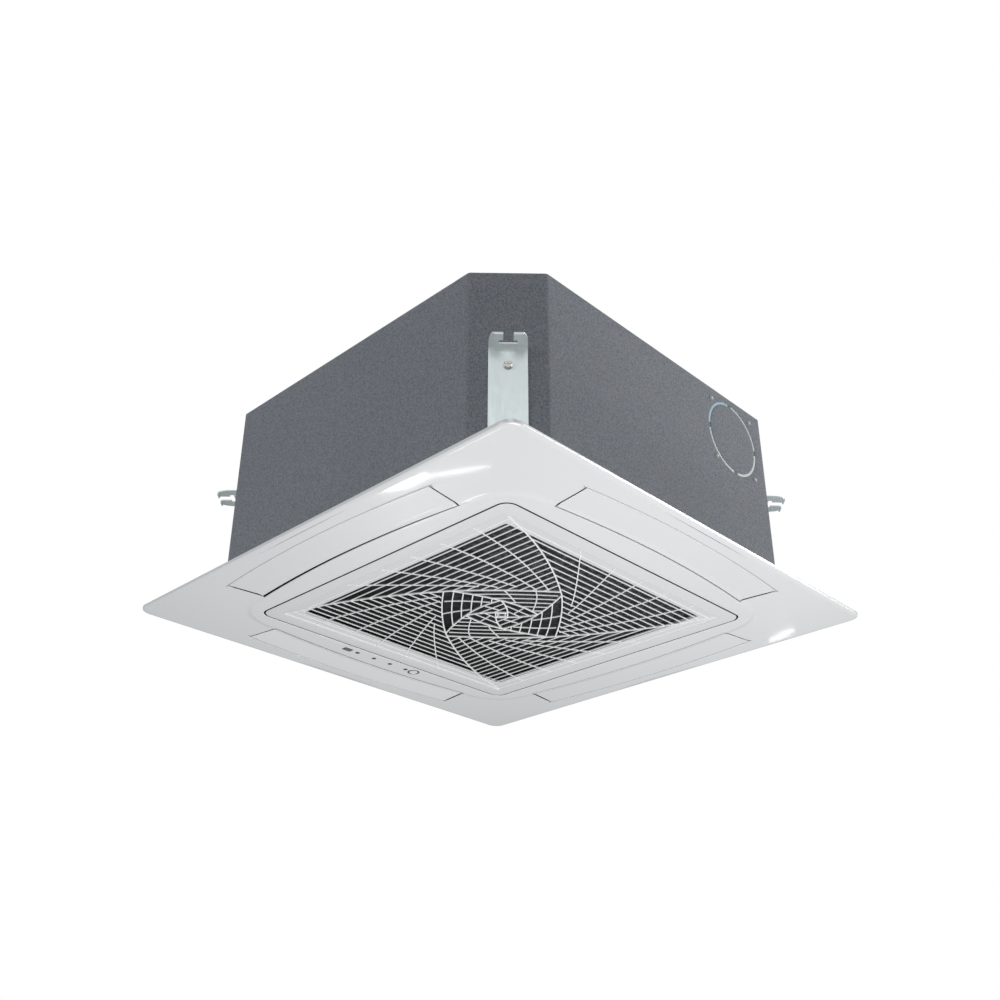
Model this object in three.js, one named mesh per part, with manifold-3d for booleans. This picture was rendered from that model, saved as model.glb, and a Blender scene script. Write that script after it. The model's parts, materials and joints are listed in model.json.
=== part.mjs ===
// Four-way ceiling cassette air conditioner, in millimetres, +Z up.
// The origin is the middle of the ceiling plane: z = 0 is the top of the panel's rim, the fan coil
// body stands above it and only the decorative panel hangs below it.
// The four sides are called front (-Y), right (+X), back (+Y) and left (-X).
import * as THREE from 'three';
import { mergeVertices } from 'three/addons/utils/BufferGeometryUtils.js';
import Module from 'manifold-3d';

const wasm = await Module();
wasm.setup();

// ---- Clearances ----
const seat = 0.3; // between two pieces that touch
const runGap = 0.4; // round a pin or a shaft that turns
const screwGap = 0.4; // round a screw's shank in its hole

// ---- Main sizes ----
const panelWidth = 700; // across the panel's flats
const casingSetback = 58.5; // from the panel's edge in to the steel body

// ---- Sheet steel body ----
const casingChamfer = 64.7; // leg of each cut-off corner
const steelGauge = 1.2;
const casingHeight = 274.5; // side wall, bottom edge to top edge
const flangeWidth = 8.5; // inward flange along the bottom edge
const jacketThickness = 4; // felt insulation bonded round the outside
const linerThickness = 8; // foam lining inside the wall
const topFoamThickness = 12;

// ---- Air path, from the lining inwards ----
const channelWidth = 36; // discharge channel between lining and drain pan
const panWall = 10;
const panInnerWall = 17;
const panHeight = 38.5;
const panFloor = 24.2; // height of the trough's floor above the pan's underside
const coilMargin = 6; // free space each side of the coil in its trough
const coilDepth = 33;
const coilCornerGap = 80; // open corner of the coil, kept for pump and pipes

// ---- Panel below the ceiling ----
const panelCornerRadius = 20;
const panelThickness = 6; // rim below the ceiling plane
const panelCollar = 5; // raised part above the ceiling plane
const collarMargin = 13.5; // collar's edge outside the steel body
const ringStep = 1.5; // the inner ring stands this much lower than the rim
const ringWidth = 27; // at its narrow places, beside the vanes' ends
const sealThickness = 2.4;
const sealWidth = 8;
const openingRadius = 16.8;

// ---- Vanes ----
const vaneOffset = 16.5; // from the drain pan's side out to the vane's inner edge at its ends
const vaneBow = 11; // rise of the bowed edges at mid-length
const vaneWidth = 50;
const vaneLength = 380; // along the outer edge
const bowSegments = 6; // straight steps in each bowed edge
const vaneEndSlant = 7; // each end is shorter by this at the inner edge
const vaneThickness = 3.5;
const vaneGap = 2;
const vaneAxisInset = 18; // from the inner edge at the ends out to the turning axis
const vaneAxisDrop = 1; // the axis lies this much below the ceiling plane
const vanePinRadius = 2.5;
const vanePinLength = 7; // through the wall between a slot's end and the motor's pocket
const vaneMotorLength = 27;
const vaneMotorWidth = 20;
const vaneMotorHeight = 9;
const vaneMotorFit = 0.4;
const ductSlant = 22; // the duct's outer wall leans out this much over the panel's height
const ductOverlap = 0.1; // the duct's cut runs into the bed's by this
const vaneMotorSkin = 1.1; // panel thickness left under the motor's pocket
const vaneBedDepth = 4.8; // depth of the vane's bed above the rim's face

// ---- Intake grille ----
const grilleGap = 1.8;
const grilleThickness = 6;
const grilleBorder = 39.5; // frame width round the louvres
const ledgeWidth = 17; // shallow step in the frame round the louvres
const ledgeDepth = 1.5;
const slatDepth = 2.8;
const louvreCornerRadius = 3;
const slatSetback = 0.5; // slats' front behind the step's face
const crossRibDepth = 1; // cross ribs stand behind the slats
const slatThickness = 1.6;
const ribThickness = 1.8;
const slatPitch = 11.95;
const firstSlat = 18.2; // first slat of an outer sector, from the centre
const diamondReach = 104; // centre to each corner of the turned inner square
const diamondTwist = 2; // each of those corners is this far off its axis
const diamondBow = 7.5; // rise of the diamond's bowed sides
const diamondSlatInset = 9; // first slat in from a diamond's side at its ends
const diamondSlatCount = 5;
const innerSquare = 35.5; // half width of the innermost square
const innerTwist = 1; // its corners are turned by this
const innerSlat = 16; // first slat of the innermost square, from the centre
const innerBow = 4.5;
const spiralReach = 10; // the four inner ribs end this far from the centre
const centreRingRadius = 7.4;
const centreRingWidth = 2;
const grillePivotInset = 10.7; // hinge axis in from the grille's back edge
const grillePivotDrop = 4.2; // hinge axis below the ceiling plane
const hingePinRadius = 1.8;
const hingePinLength = 12;
const hingePinFit = 0.1; // round a pin where it is pressed into the panel
const hingePinGrip = 5.5; // length of the pin inside the grille's frame

// ---- Filter and latches ----
const filterMargin = 3; // filter frame beyond the louvre opening
const filterHeight = 3.5;
const filterBar = 6;
const filterBarWidth = 2;
const filterBarCount = 3;
const filterNetThickness = 0.8;
const filterNetInset = 1; // net's place above the frame's underside, and inside the frame's edge
const latchOffset = 73.5; // each latch from the middle of the front edge
const latchLength = 24;
const latchWidth = 17;
const latchHeight = 3.5;
const latchTravel = 5;
const latchPlay = 1; // free space beside and behind a bolt in its notch
const latchThumbLength = 4;

// ---- Hangers ----
const hangerWidth = 46;
const hangerGauge = 1.7;
const hangerTabHeight = 172; // tab's upper face above the ceiling plane
const hangerTabLength = 33;
const hangerFoot = 6; // strip's lower end above the body's bottom edge
const hangerLip = 11; // turned-down ends of the prongs
const hangerSlotWidth = 13; // open slot for the threaded rod
const hangerSlotLength = 22;
const hangerCrossWidth = 24; // cross slot at the open slot's inner end
const hangerCrossLength = 5;
const hangerCornerRadius = 7;
const hangerScrewDrop = 26; // screw below the tab
const hangerScrewRadius = 2.2;
const hangerScrewHead = 5.5;
const hangerScrewLength = 14;
const hangerScrewCrown = 3;
const screwRecessWidth = 1;
const screwRecessDepth = 1.2;

// ---- Fresh-air knock-out on the right side ----
const knockoutInset = 72.8; // middle from the flat wall's back end
const knockoutHeight = 218; // above the ceiling plane
const knockoutRadius = 53.8;
const knockoutSlot = 4;
const knockoutWeb = 7;
const dimpleSpacing = 91;
const dimpleRadius = 2.5;
const dimpleHeight = 1.5;
const dimpleHole = 3.6;

// ---- Fan and motor ----
const fanClearance = 32; // between the fan's rim and the coil
const fanBottom = 76;
const fanHeight = 148;
const shroudWidth = 61; // from the fan's rim in to its eye
const shroudRise = 41.5; // the shroud's rim above the fan's eye
const shroudNeck = 10; // nearly straight start of the shroud at the eye
const shroudKnee = 22; // bend of the shroud, out from the eye
const kneeShare = 0.55; // of the shroud's rise at that bend
const bladeLength = 73; // measured along the radius
const bladeSetback = 2; // blades' ends inside the fan's rim
const bladeSteps = 4;
const bladeCount = 7;
const bladeThickness = 2.5;
const bladeSweep = 42; // degrees from a blade's inner to its outer end
const shellThickness = 3;
const dishWidth = 26; // shallow cone of the fan's back plate round the motor
const dishDrop = 2; // the cone's outer edge below the fan's top
const motorRoom = 4; // between the motor and the dish round it
const hubBossRadius = 16;
const hubBossLength = 30;
const hubBossDrop = 8; // boss below the motor
const hubFillet = 6;
const hubDip = 4;
const shaftRadius = 4;
const shaftEnd = 4; // shaft below its nut
const throatInset = 6; // the bell mouth's throat inside the fan's eye
const mouthFlare = 14; // the bell mouth widens by this from its throat to its plate
const throatHeight = 34;
const mouthPlateThickness = 2;
const motorRadius = 44;
const motorFlangeRadius = 56;
const motorHeight = 54;
const motorFlangeThickness = 3.7;
const motorEdge = 4; // chamfer round the motor's underside
const mountThickness = 3.5;
const mountMargin = 8; // mounting plate beyond the motor's flange
const damperThickness = 6.4;
const nutWidth = 13;
const nutHeight = 8;

// ---- Coil piping, pump and drain ----
const plateGauge = 1.5;
const bendRadius = 10.5;
const bendTube = 3.5;
const bendLevels = [[0, 1, 4], [0, 2, 4]]; // levels of the hairpin bends on the side and back plates
const gasPipeRadius = 6.35;
const gasPipeHeight = 190;
const gasPipeOffset = 36; // from the coil's end plate
const liquidPipeRadius = 3.2;
const liquidPipeHeight = 148;
const liquidPipeOffset = 18;
const pipeBend = 14;
const pipeWall = 1;
const pipeBoreDepth = 20; // the pipes are drawn open this far from their ends
const pipeReach = 34; // bare pipe beyond the steel wall
const flareNutLength = 20;
const flareNutWall = 5.2;
const pipeHatchWidth = 62;
const pipeHatchHeight = 96;
const pipeHatchRim = 6;
const pumpRadius = 20;
const pumpHeight = 76;
const pumpStemHeight = 34;
const pumpShoulder = 8;
const hoseRadius = 9;
const hoseBend = 26;
const outletRadius = 12.5;
const outletBore = 9.5;
const outletHeight = 205;
const outletReach = 48;
const glandRadius = 14;
const glandHeight = 60;
const glandInset = 31.8; // from the flat wall's end
const glandStep = 2; // neck narrower than the lip
const glandWall = 4;
const glandLip = 3;

// ---- Control box in the intake ----
const boxWidth = 58;
const boxLength = 260;
const boxDepth = 34;
const boxWall = 1.2;
const boxMargin = 1;
const boardThickness = 1.6;
const boardMargin = 5;
const capacitorRadius = 9;
const capacitorHeight = 22;
const smallCapacitorRadius = 7;
const smallCapacitorHeight = 18;
const transformerWidth = 22;
const transformerLength = 30;
const transformerHeight = 15;
const relayWidth = 14;
const relayLength = 20;
const relayHeight = 12;
const socketWidth = 34;
const socketLength = 22;
const socketHeight = 8;
const chokeWidth = 18;
const chokeLength = 40;
const chokeHeight = 14;

// ---- Indicator strip on the left part of the ring ----
const stripInset = 14.5; // from the grille's opening to the strip's middle line
const windowOffset = 66;
const windowLength = 14;
const windowWidth = 9;
const lampSpacing = 31.5;
const lampRadius = 2.6;
const lampCount = 4;
const buttonOffset = 63.5;
const buttonRadius = 7;
const buttonFlange = 1.4;
const buttonTravel = 1;
const buttonProud = 0.4;
const faceSkin = 3; // panel thickness left over the strip
const windowFit = 0.4;
const windowRim = 2; // the pane's hidden rim
const lampBarWidth = 8;
const lampBarThickness = 2;
const lampRoot = 1; // lamps and cap run this far into the parts behind them
const stripMargin = 4.5; // room behind the strip beyond the window's sides
const stripEndMargin = 5; // and beyond the button's end
const stripBoardMargin = 3;

// ---- Panel screws ----
const panelScrewInset = 26.5; // from the sides of the grille's opening
const panelScrewRadius = 2;
const panelScrewHead = 4;
const panelScrewLength = 13;
const panelScrewSink = 0.2; // head's face above the tab's underside
const lugWidth = 24;
const tabWidth = 18.5;
const tabMargin = 4; // tab beyond the screw's head

// ---- Sizes worked out from the ones above ----
const quarter = Math.PI / 2;
const sides = ['front', 'right', 'back', 'left'];
const panelHalf = panelWidth / 2;
const casingHalf = panelHalf - casingSetback;
const flatHalf = casingHalf - casingChamfer;
const linerInner = casingHalf - steelGauge - seat - linerThickness;
const panOuter = linerInner - channelWidth;
const troughOuter = panOuter - panWall;
const coilOuter = troughOuter - coilMargin;
const coilInner = coilOuter - coilDepth;
const troughInner = coilInner - coilMargin;
const panInner = troughInner - panInnerWall;
const vaneInnerEnd = panOuter + vaneOffset;
const vaneOuterEnd = vaneInnerEnd + vaneWidth;
const collarHalf = casingHalf + collarMargin;
const openingHalf = vaneInnerEnd - vaneGap - ringWidth;
const grilleHalf = openingHalf - grilleGap;
const louvreHalf = grilleHalf - grilleBorder;
const ledgeHalf = louvreHalf + ledgeWidth;
const ringFace = -panelThickness - ringStep;
const grilleBack = ringFace + grilleThickness;
const casingBottom = panelCollar + 2 * seat + sealThickness;
const casingTop = casingBottom + casingHeight;
const flangeTop = casingBottom + steelGauge;
const panBottom = flangeTop + seat;
const panTop = panBottom + panHeight;
const coilBottom = panBottom + panFloor + seat;
const topFoamBottom = casingTop - topFoamThickness;
const coilTop = topFoamBottom - seat;
const coilMiddle = (coilInner + coilOuter) / 2;
const coilEnd = coilOuter - coilCornerGap;
const lidTop = casingTop + seat + steelGauge;
const chamferReach = (2 * casingHalf - casingChamfer) / Math.SQRT2;
const jacketOut = seat + jacketThickness;
const jacketFace = casingHalf + jacketOut;
const vaneAxis = vaneInnerEnd + vaneAxisInset;
const panelScrewPlace = openingHalf - panelScrewInset;
const knockoutOffset = flatHalf - knockoutInset;
const glandOffset = flatHalf - glandInset;
const fanRadius = coilInner - fanClearance;
const fanTop = fanBottom + fanHeight;
const eyeRadius = fanRadius - shroudWidth;
const bladeInner = fanRadius - bladeLength;
const throatRadius = eyeRadius - throatInset;
const mouthRadius = throatRadius + mouthFlare;
const through = 1; // cutters reach this much past the faces they cut

// ---- Finishes ----
function finish(colour, roughness, metalness) {
  return new THREE.MeshStandardMaterial({ color: colour, roughness, metalness });
}
const whitePlastic = finish(0xe4e5e8, 0.28, 0);
const louvrePlastic = finish(0xe9eaeb, 0.35, 0);
const greyFelt = finish(0x686b70, 0.92, 0);
const zincSteel = finish(0xccd5d7, 0.38, 0.85);
const screwSteel = finish(0xb9bcc0, 0.3, 0.9);
const blackFoam = finish(0x2c2d2f, 0.95, 0);
const paleFoam = finish(0xd9dadb, 0.9, 0);
const finAluminium = finish(0xb4babf, 0.45, 0.8);
const copper = finish(0xb5673a, 0.35, 0.9);
const brass = finish(0xc2a04e, 0.35, 0.9);
const darkPlastic = finish(0x3a3c40, 0.5, 0);
const greyPlastic = finish(0x8d9196, 0.5, 0);
const rubber = finish(0x232425, 0.9, 0);
const boardGreen = finish(0x2f6a48, 0.55, 0);
const smokedLens = finish(0x17181a, 0.15, 0);

// ---- Solids ----
// A closed solid from a geometry whose faces share their corner points.
function solid(geometry) {
  const bare = geometry.index ? geometry.toNonIndexed() : geometry.clone();
  bare.deleteAttribute('normal');
  bare.deleteAttribute('uv');
  const merged = mergeVertices(bare, 1e-4);
  const vertProperties = merged.attributes.position.array;
  const triVerts = new Uint32Array(merged.index.array);
  const made = new wasm.Manifold(new wasm.Mesh({ numProp: 3, vertProperties, triVerts }));
  if (made.volume() > 0) return made;
  for (let i = 0; i < triVerts.length; i += 3) {
    const second = triVerts[i + 1];
    triVerts[i + 1] = triVerts[i + 2];
    triVerts[i + 2] = second;
  }
  return new wasm.Manifold(new wasm.Mesh({ numProp: 3, vertProperties, triVerts }));
}

function geometryOf(made) {
  const mesh = made.getMesh();
  const geometry = new THREE.BufferGeometry();
  geometry.setAttribute('position', new THREE.BufferAttribute(new Float32Array(mesh.vertProperties), 3));
  geometry.setIndex(new THREE.BufferAttribute(new Uint32Array(mesh.triVerts), 1));
  geometry.computeVertexNormals();
  return geometry;
}

function join(...solids) {
  return solids.reduce((sum, next) => sum.add(next));
}

function cut(base, ...tools) {
  return tools.reduce((rest, tool) => rest.subtract(tool), base);
}

function block(x0, x1, y0, y1, z0, z1) {
  const box = new THREE.BoxGeometry(x1 - x0, y1 - y0, z1 - z0);
  return box.translate((x0 + x1) / 2, (y0 + y1) / 2, (z0 + z1) / 2);
}

function slab(shape, z0, z1, curveSegments = 2) {
  const options = { depth: z1 - z0, bevelEnabled: false, curveSegments };
  return new THREE.ExtrudeGeometry(shape, options).translate(0, 0, z0);
}

function rod(radius, z0, z1, x = 0, y = 0, segments = 16) {
  const cylinder = new THREE.CylinderGeometry(radius, radius, z1 - z0, segments);
  return cylinder.rotateX(quarter).translate(x, y, (z0 + z1) / 2);
}

// A rod along X from x0 to x1.
function barX(radius, x0, x1, y, z, segments = 10) {
  return rod(radius, x0, x1, 0, 0, segments).rotateY(quarter).translate(0, y, z);
}

// A rod along Y from y0 to y1.
function barY(radius, y0, y1, x, z, segments = 10) {
  return rod(radius, y0, y1, 0, 0, segments).rotateX(-quarter).translate(x, 0, z);
}

// A profile of [radius, height] points turned round the Z axis.
function turned(profile, segments = 28) {
  const points = profile.map(([radius, height]) => new THREE.Vector2(radius, height));
  return new THREE.LatheGeometry(points, segments).rotateX(quarter);
}

function tube(curve, radius, sections, steps) {
  const section = new THREE.Shape().absarc(0, 0, radius, 0, 2 * Math.PI);
  const options = { extrudePath: curve, steps, bevelEnabled: false, curveSegments: sections };
  return new THREE.ExtrudeGeometry(section, options);
}

function vector(x, y, z) {
  return new THREE.Vector3(x, y, z);
}

// A path with one rounded right-angled bend of the given radius at its corner point.
function bentPath(start, corner, end, radius) {
  const towardsStart = start.clone().sub(corner).normalize().multiplyScalar(radius);
  const towardsEnd = end.clone().sub(corner).normalize().multiplyScalar(radius);
  const bendStart = corner.clone().add(towardsStart);
  const bendEnd = corner.clone().add(towardsEnd);
  const path = new THREE.CurvePath();
  path.add(new THREE.LineCurve3(start, bendStart));
  path.add(new THREE.QuadraticBezierCurve3(bendStart, corner, bendEnd));
  path.add(new THREE.LineCurve3(bendEnd, end));
  return path;
}

// ---- Outlines ----
// Square with cut-off corners, parallel to the steel wall at a distance outside it.
function octagon(outset) {
  const half = casingHalf + outset;
  const leg = casingChamfer + outset * (2 - Math.SQRT2);
  const corners = [];
  for (let k = 0; k < 4; k += 1) {
    for (const [x, y] of [[half - leg, -half], [half, leg - half]]) {
      const turn = k * quarter;
      const cos = Math.round(Math.cos(turn));
      const sin = Math.round(Math.sin(turn));
      corners.push(new THREE.Vector2(x * cos - y * sin, x * sin + y * cos));
    }
  }
  return new THREE.Shape(corners);
}

function roundedSquare(half, radius) {
  const straight = half - radius;
  const shape = new THREE.Shape();
  shape.absarc(straight, -straight, radius, -quarter, 0);
  shape.absarc(straight, straight, radius, 0, quarter);
  shape.absarc(-straight, straight, radius, quarter, 2 * quarter);
  shape.absarc(-straight, -straight, radius, 2 * quarter, 3 * quarter);
  shape.closePath();
  return shape;
}

// Closed frame between two heights with a square hole of the same kind.
function frame(outer, inner, z0, z1) {
  return cut(solid(slab(outer, z0, z1)), solid(slab(inner, z0 - through, z1 + through)));
}

// Plan of the front vane, grown outwards by a clearance.
function vanePlan(grow) {
  const inner = vaneInnerEnd - grow;
  const outer = vaneOuterEnd + grow;
  const longHalf = vaneLength / 2 + grow;
  const shortHalf = longHalf - vaneEndSlant;
  const shape = new THREE.Shape();
  shape.moveTo(-longHalf, -outer);
  shape.quadraticCurveTo(0, -outer - 2 * vaneBow, longHalf, -outer);
  shape.lineTo(shortHalf, -inner);
  shape.quadraticCurveTo(0, -inner - 2 * vaneBow, -shortHalf, -inner);
  shape.closePath();
  return shape;
}

// Outline of the lower ring: bowed along the vanes, rounded at the corners.
function ringPlan() {
  const edge = vaneInnerEnd - vaneGap;
  const end = vaneLength / 2 + vaneGap - vaneEndSlant;
  const shape = new THREE.Shape();
  shape.moveTo(-end, -edge);
  for (let k = 0; k < 4; k += 1) {
    const cos = Math.round(Math.cos(k * quarter));
    const sin = Math.round(Math.sin(k * quarter));
    const place = (x, y) => [x * cos - y * sin, x * sin + y * cos];
    shape.quadraticCurveTo(...place(0, -edge - 2 * vaneBow), ...place(end, -edge));
    shape.quadraticCurveTo(...place(edge - ringStep, ringStep - edge), ...place(edge, -end));
  }
  shape.closePath();
  return shape;
}

// A finished solid turned by quarter turns about the Z axis.
function spun(made, quarters) {
  return solid(geometryOf(made).rotateZ(quarters * quarter));
}

function moved(made, x, y, z) {
  return solid(geometryOf(made).translate(x, y, z));
}

function turnedCopies(geometry) {
  return sides.map((side, k) => solid(geometry.clone().rotateZ(k * quarter)));
}

// ---- Assembly ----
const cassette = new THREE.Group();

function place(name, made, material, quarters = 0) {
  const mesh = new THREE.Mesh(geometryOf(made), material);
  mesh.name = name;
  mesh.rotation.z = quarters * quarter;
  cassette.add(mesh);
}

// ---- Steel casing, felt jacket, foam lining, lid ----
// Openings in the walls, each cut with a small allowance round what passes through.
const gasPipeY = coilEnd + plateGauge + seat + gasPipeOffset;
const liquidPipeY = coilEnd + plateGauge + seat + liquidPipeOffset;
const hatchY = (gasPipeY + liquidPipeY) / 2;
const hatchZ = (gasPipeHeight + liquidPipeHeight) / 2;

function hatchOpening(grow) {
  const halfWidth = pipeHatchWidth / 2 + grow;
  const halfHeight = pipeHatchHeight / 2 + grow;
  const reach = jacketFace + through;
  return solid(block(-reach, -linerInner + through, hatchY - halfWidth, hatchY + halfWidth,
    hatchZ - halfHeight, hatchZ + halfHeight));
}

function backWallHoles(grow) {
  const from = linerInner - linerThickness;
  const to = jacketFace + through;
  return [
    solid(barY(outletRadius + grow, from, to, -coilMiddle, outletHeight, 14)),
    solid(barY(glandRadius - glandStep + grow, from, to, -glandOffset, glandHeight, 14)),
  ];
}

function hangerScrewHoles(grow) {
  const height = hangerTabHeight - hangerScrewDrop;
  const from = chamferReach - hangerScrewLength;
  const to = chamferReach + jacketOut + hangerGauge + through;
  const hole = barX(hangerScrewRadius + grow, from, to, 0, height, 8).rotateZ(-quarter / 2);
  return turnedCopies(hole);
}

function dimplePlaces() {
  const half = dimpleSpacing / 2;
  const places = [];
  for (const across of [-half, half]) {
    for (const up of [-half, half]) places.push([knockoutOffset + across, knockoutHeight + up]);
  }
  return places;
}

function sideCasing() {
  const height = [casingBottom, casingTop];
  const wall = frame(octagon(0), octagon(-steelGauge), ...height);
  const flange = frame(octagon(-steelGauge / 2), octagon(-steelGauge - flangeWidth),
    casingBottom, flangeTop);
  const lugInner = panelScrewPlace * Math.SQRT2 - lugWidth / 2;
  const lug = block(lugInner, chamferReach - steelGauge / 2, -lugWidth / 2, lugWidth / 2,
    casingBottom, flangeTop).rotateZ(-quarter / 2);
  const screwHole = rod(panelScrewRadius + screwGap, casingBottom - through, flangeTop + through,
    panelScrewPlace, -panelScrewPlace, 8);
  const dimples = dimplePlaces().map(([y, z]) => solid(
    barX(dimpleRadius, casingHalf - steelGauge / 2, casingHalf + dimpleHeight, y, z, 8)));
  return cut(join(wall, flange, ...turnedCopies(lug), ...dimples),
    ...turnedCopies(screwHole), hatchOpening(-pipeHatchRim), ...backWallHoles(screwGap),
    ...hangerScrewHoles(screwGap));
}

// Ring-shaped cut of the knock-out, interrupted by webs at its four quarters.
function knockoutCut() {
  const from = casingHalf;
  const to = jacketFace + through;
  const outer = solid(barX(knockoutRadius + knockoutSlot / 2, from, to, 0, 0, 32));
  const inner = solid(barX(knockoutRadius - knockoutSlot / 2, from - through, to + through, 0, 0, 32));
  const reach = knockoutRadius + knockoutSlot;
  const webs = [
    solid(block(from - through, to + through, -reach, reach, -knockoutWeb / 2, knockoutWeb / 2)),
    solid(block(from - through, to + through, -knockoutWeb / 2, knockoutWeb / 2, -reach, reach)),
  ];
  return moved(cut(outer, inner, ...webs), 0, knockoutOffset, knockoutHeight);
}

function insulationJacket() {
  const wall = frame(octagon(jacketOut), octagon(seat), casingBottom, lidTop);
  const dimpleHoles = dimplePlaces().map(([y, z]) => solid(
    barX(dimpleHole, casingHalf, jacketFace + through, y, z, 8)));
  return cut(wall, knockoutCut(), ...dimpleHoles, hatchOpening(seat),
    ...backWallHoles(screwGap), ...hangerScrewHoles(2 * screwGap));
}

function wallLiner() {
  const outset = -steelGauge - seat;
  const wall = frame(octagon(outset), octagon(outset - linerThickness), panBottom, topFoamBottom);
  return cut(wall, hatchOpening(-pipeHatchRim), ...backWallHoles(screwGap),
    ...hangerScrewHoles(2 * screwGap));
}

place('side_casing', sideCasing(), zincSteel);
place('insulation_jacket', insulationJacket(), greyFelt);
place('wall_liner', wallLiner(), blackFoam);
place('top_plate', solid(slab(octagon(0), casingTop + seat, lidTop)), zincSteel);
place('top_foam', cut(
  solid(slab(octagon(-steelGauge - seat), topFoamBottom + seat, casingTop)),
  solid(rod(motorFlangeRadius + 2 * coilMargin, topFoamBottom, casingTop + through, 0, 0, 32)),
), paleFoam);

// ---- Hangers on the four cut-off corners ----
function hanger() {
  const inside = chamferReach + jacketOut + seat;
  const outside = inside + hangerGauge;
  const tip = inside + hangerTabLength;
  const half = hangerWidth / 2;
  const tabBottom = hangerTabHeight - hangerGauge;
  const strip = solid(block(inside, outside, -half, half, casingBottom + hangerFoot, hangerTabHeight));
  const tabPlan = new THREE.Shape();
  tabPlan.moveTo(inside, -half);
  tabPlan.lineTo(tip - hangerCornerRadius, -half);
  tabPlan.absarc(tip - hangerCornerRadius, hangerCornerRadius - half, hangerCornerRadius, -quarter, 0);
  tabPlan.absarc(tip - hangerCornerRadius, half - hangerCornerRadius, hangerCornerRadius, 0, quarter);
  tabPlan.lineTo(inside, half);
  tabPlan.closePath();
  const tab = solid(slab(tabPlan, tabBottom, hangerTabHeight));
  const lipHalf = half - hangerCornerRadius;
  const lip = solid(block(tip - hangerGauge, tip, -lipHalf, lipHalf,
    hangerTabHeight - hangerLip, hangerTabHeight));
  const slotEnd = tip - hangerSlotLength;
  const slot = solid(block(slotEnd, tip + through, -hangerSlotWidth / 2, hangerSlotWidth / 2,
    hangerTabHeight - 2 * hangerLip, hangerTabHeight + through));
  const cross = solid(block(slotEnd, slotEnd + hangerCrossLength, -hangerCrossWidth / 2,
    hangerCrossWidth / 2, tabBottom - through, hangerTabHeight + through));
  const hole = solid(barX(hangerScrewRadius + screwGap, inside - through, outside + through, 0,
    hangerTabHeight - hangerScrewDrop, 10));
  return cut(join(strip, tab, lip), slot, cross, hole);
}

function hangerScrew() {
  const height = hangerTabHeight - hangerScrewDrop;
  const face = chamferReach + jacketOut + seat + hangerGauge + seat;
  const crown = hangerScrewCrown;
  const profile = [[0, -hangerScrewLength], [hangerScrewRadius, -hangerScrewLength],
    [hangerScrewRadius, 0], [hangerScrewHead, 0], [hangerScrewHead, crown / 2],
    [hangerScrewHead - crown / 2, crown], [0, crown]];
  const slot = block(-hangerScrewHead / 2, hangerScrewHead / 2, -screwRecessWidth / 2,
    screwRecessWidth / 2, crown - screwRecessDepth, crown + through);
  const recess = join(solid(slot), spun(solid(slot), 1));
  const screw = geometryOf(cut(solid(turned(profile, 10)), recess));
  return solid(screw.rotateY(quarter).translate(face, 0, height));
}

const corners = ['front_right', 'back_right', 'back_left', 'front_left'];
const oneHanger = hanger();
const oneHangerScrew = hangerScrew();
corners.forEach((corner, k) => {
  place(`hanger_${corner}`, oneHanger, zincSteel, k - 0.5);
  place(`hanger_screw_${corner}`, oneHangerScrew, screwSteel, k - 0.5);
});

// ---- Drain pan, coil and its end plates ----
function drainPan() {
  const radius = panWall;
  const ring = frame(roundedSquare(panOuter, radius), roundedSquare(panInner, radius),
    panBottom, panTop);
  const trough = frame(roundedSquare(troughOuter, radius), roundedSquare(troughInner, radius),
    panBottom + panFloor, panTop + through);
  const screwHole = rod(panelScrewRadius + 2 * screwGap, panBottom - through,
    panBottom + panelScrewLength, panelScrewPlace, -panelScrewPlace, 8);
  return cut(ring, trough, ...turnedCopies(screwHole));
}

function coil() {
  const ring = frame(roundedSquare(coilOuter, coilDepth + panWall), roundedSquare(coilInner, panWall),
    coilBottom, coilTop);
  const corner = solid(block(-coilOuter - through, -coilEnd, coilEnd, coilOuter + through,
    coilBottom - through, coilTop + through));
  return cut(ring, corner);
}

// End plate of the coil in the XZ plane with hairpin bends standing out towards +Y.
function coilPlate(firstBend, heights) {
  const plate = solid(block(-coilOuter, -coilInner, coilEnd + seat, coilEnd + seat + plateGauge,
    coilBottom, coilTop));
  const face = coilEnd + seat + plateGauge / 2;
  const bends = heights.map((height) => {
    const low = height - bendRadius;
    const high = height + bendRadius;
    const reach = face + bendRadius;
    const path = new THREE.CurvePath();
    path.add(new THREE.QuadraticBezierCurve3(vector(firstBend, face, low),
      vector(firstBend, reach, low), vector(firstBend, reach, height)));
    path.add(new THREE.QuadraticBezierCurve3(vector(firstBend, reach, height),
      vector(firstBend, reach, high), vector(firstBend, face, high)));
    return solid(tube(path, bendTube, 3, 6));
  });
  return join(plate, ...bends);
}

const bendPitch = 4 * bendRadius;
const bendHeights = bendLevels.map((levels) => levels.map(
  (level) => coilBottom + bendPitch * level + bendPitch / 2 + bendTube));
place('drain_pan', drainPan(), paleFoam);
place('coil', coil(), finAluminium);
place('coil_plate_side', coilPlate(-coilMiddle, bendHeights[0]), zincSteel);
// The back plate is the side plate's mirror image across the diagonal through the open corner.
const acrossDiagonal = new THREE.Matrix4().set(0, -1, 0, 0, -1, 0, 0, 0, 0, 0, 1, 0, 0, 0, 0, 1);
const backPlate = geometryOf(coilPlate(-coilMiddle, bendHeights[1])).applyMatrix4(acrossDiagonal);
place('coil_plate_back', solid(backPlate), zincSteel);

// ---- Refrigerant pipes, flare nuts and their hatch ----
const pipeEnd = casingHalf + pipeReach;

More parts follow.
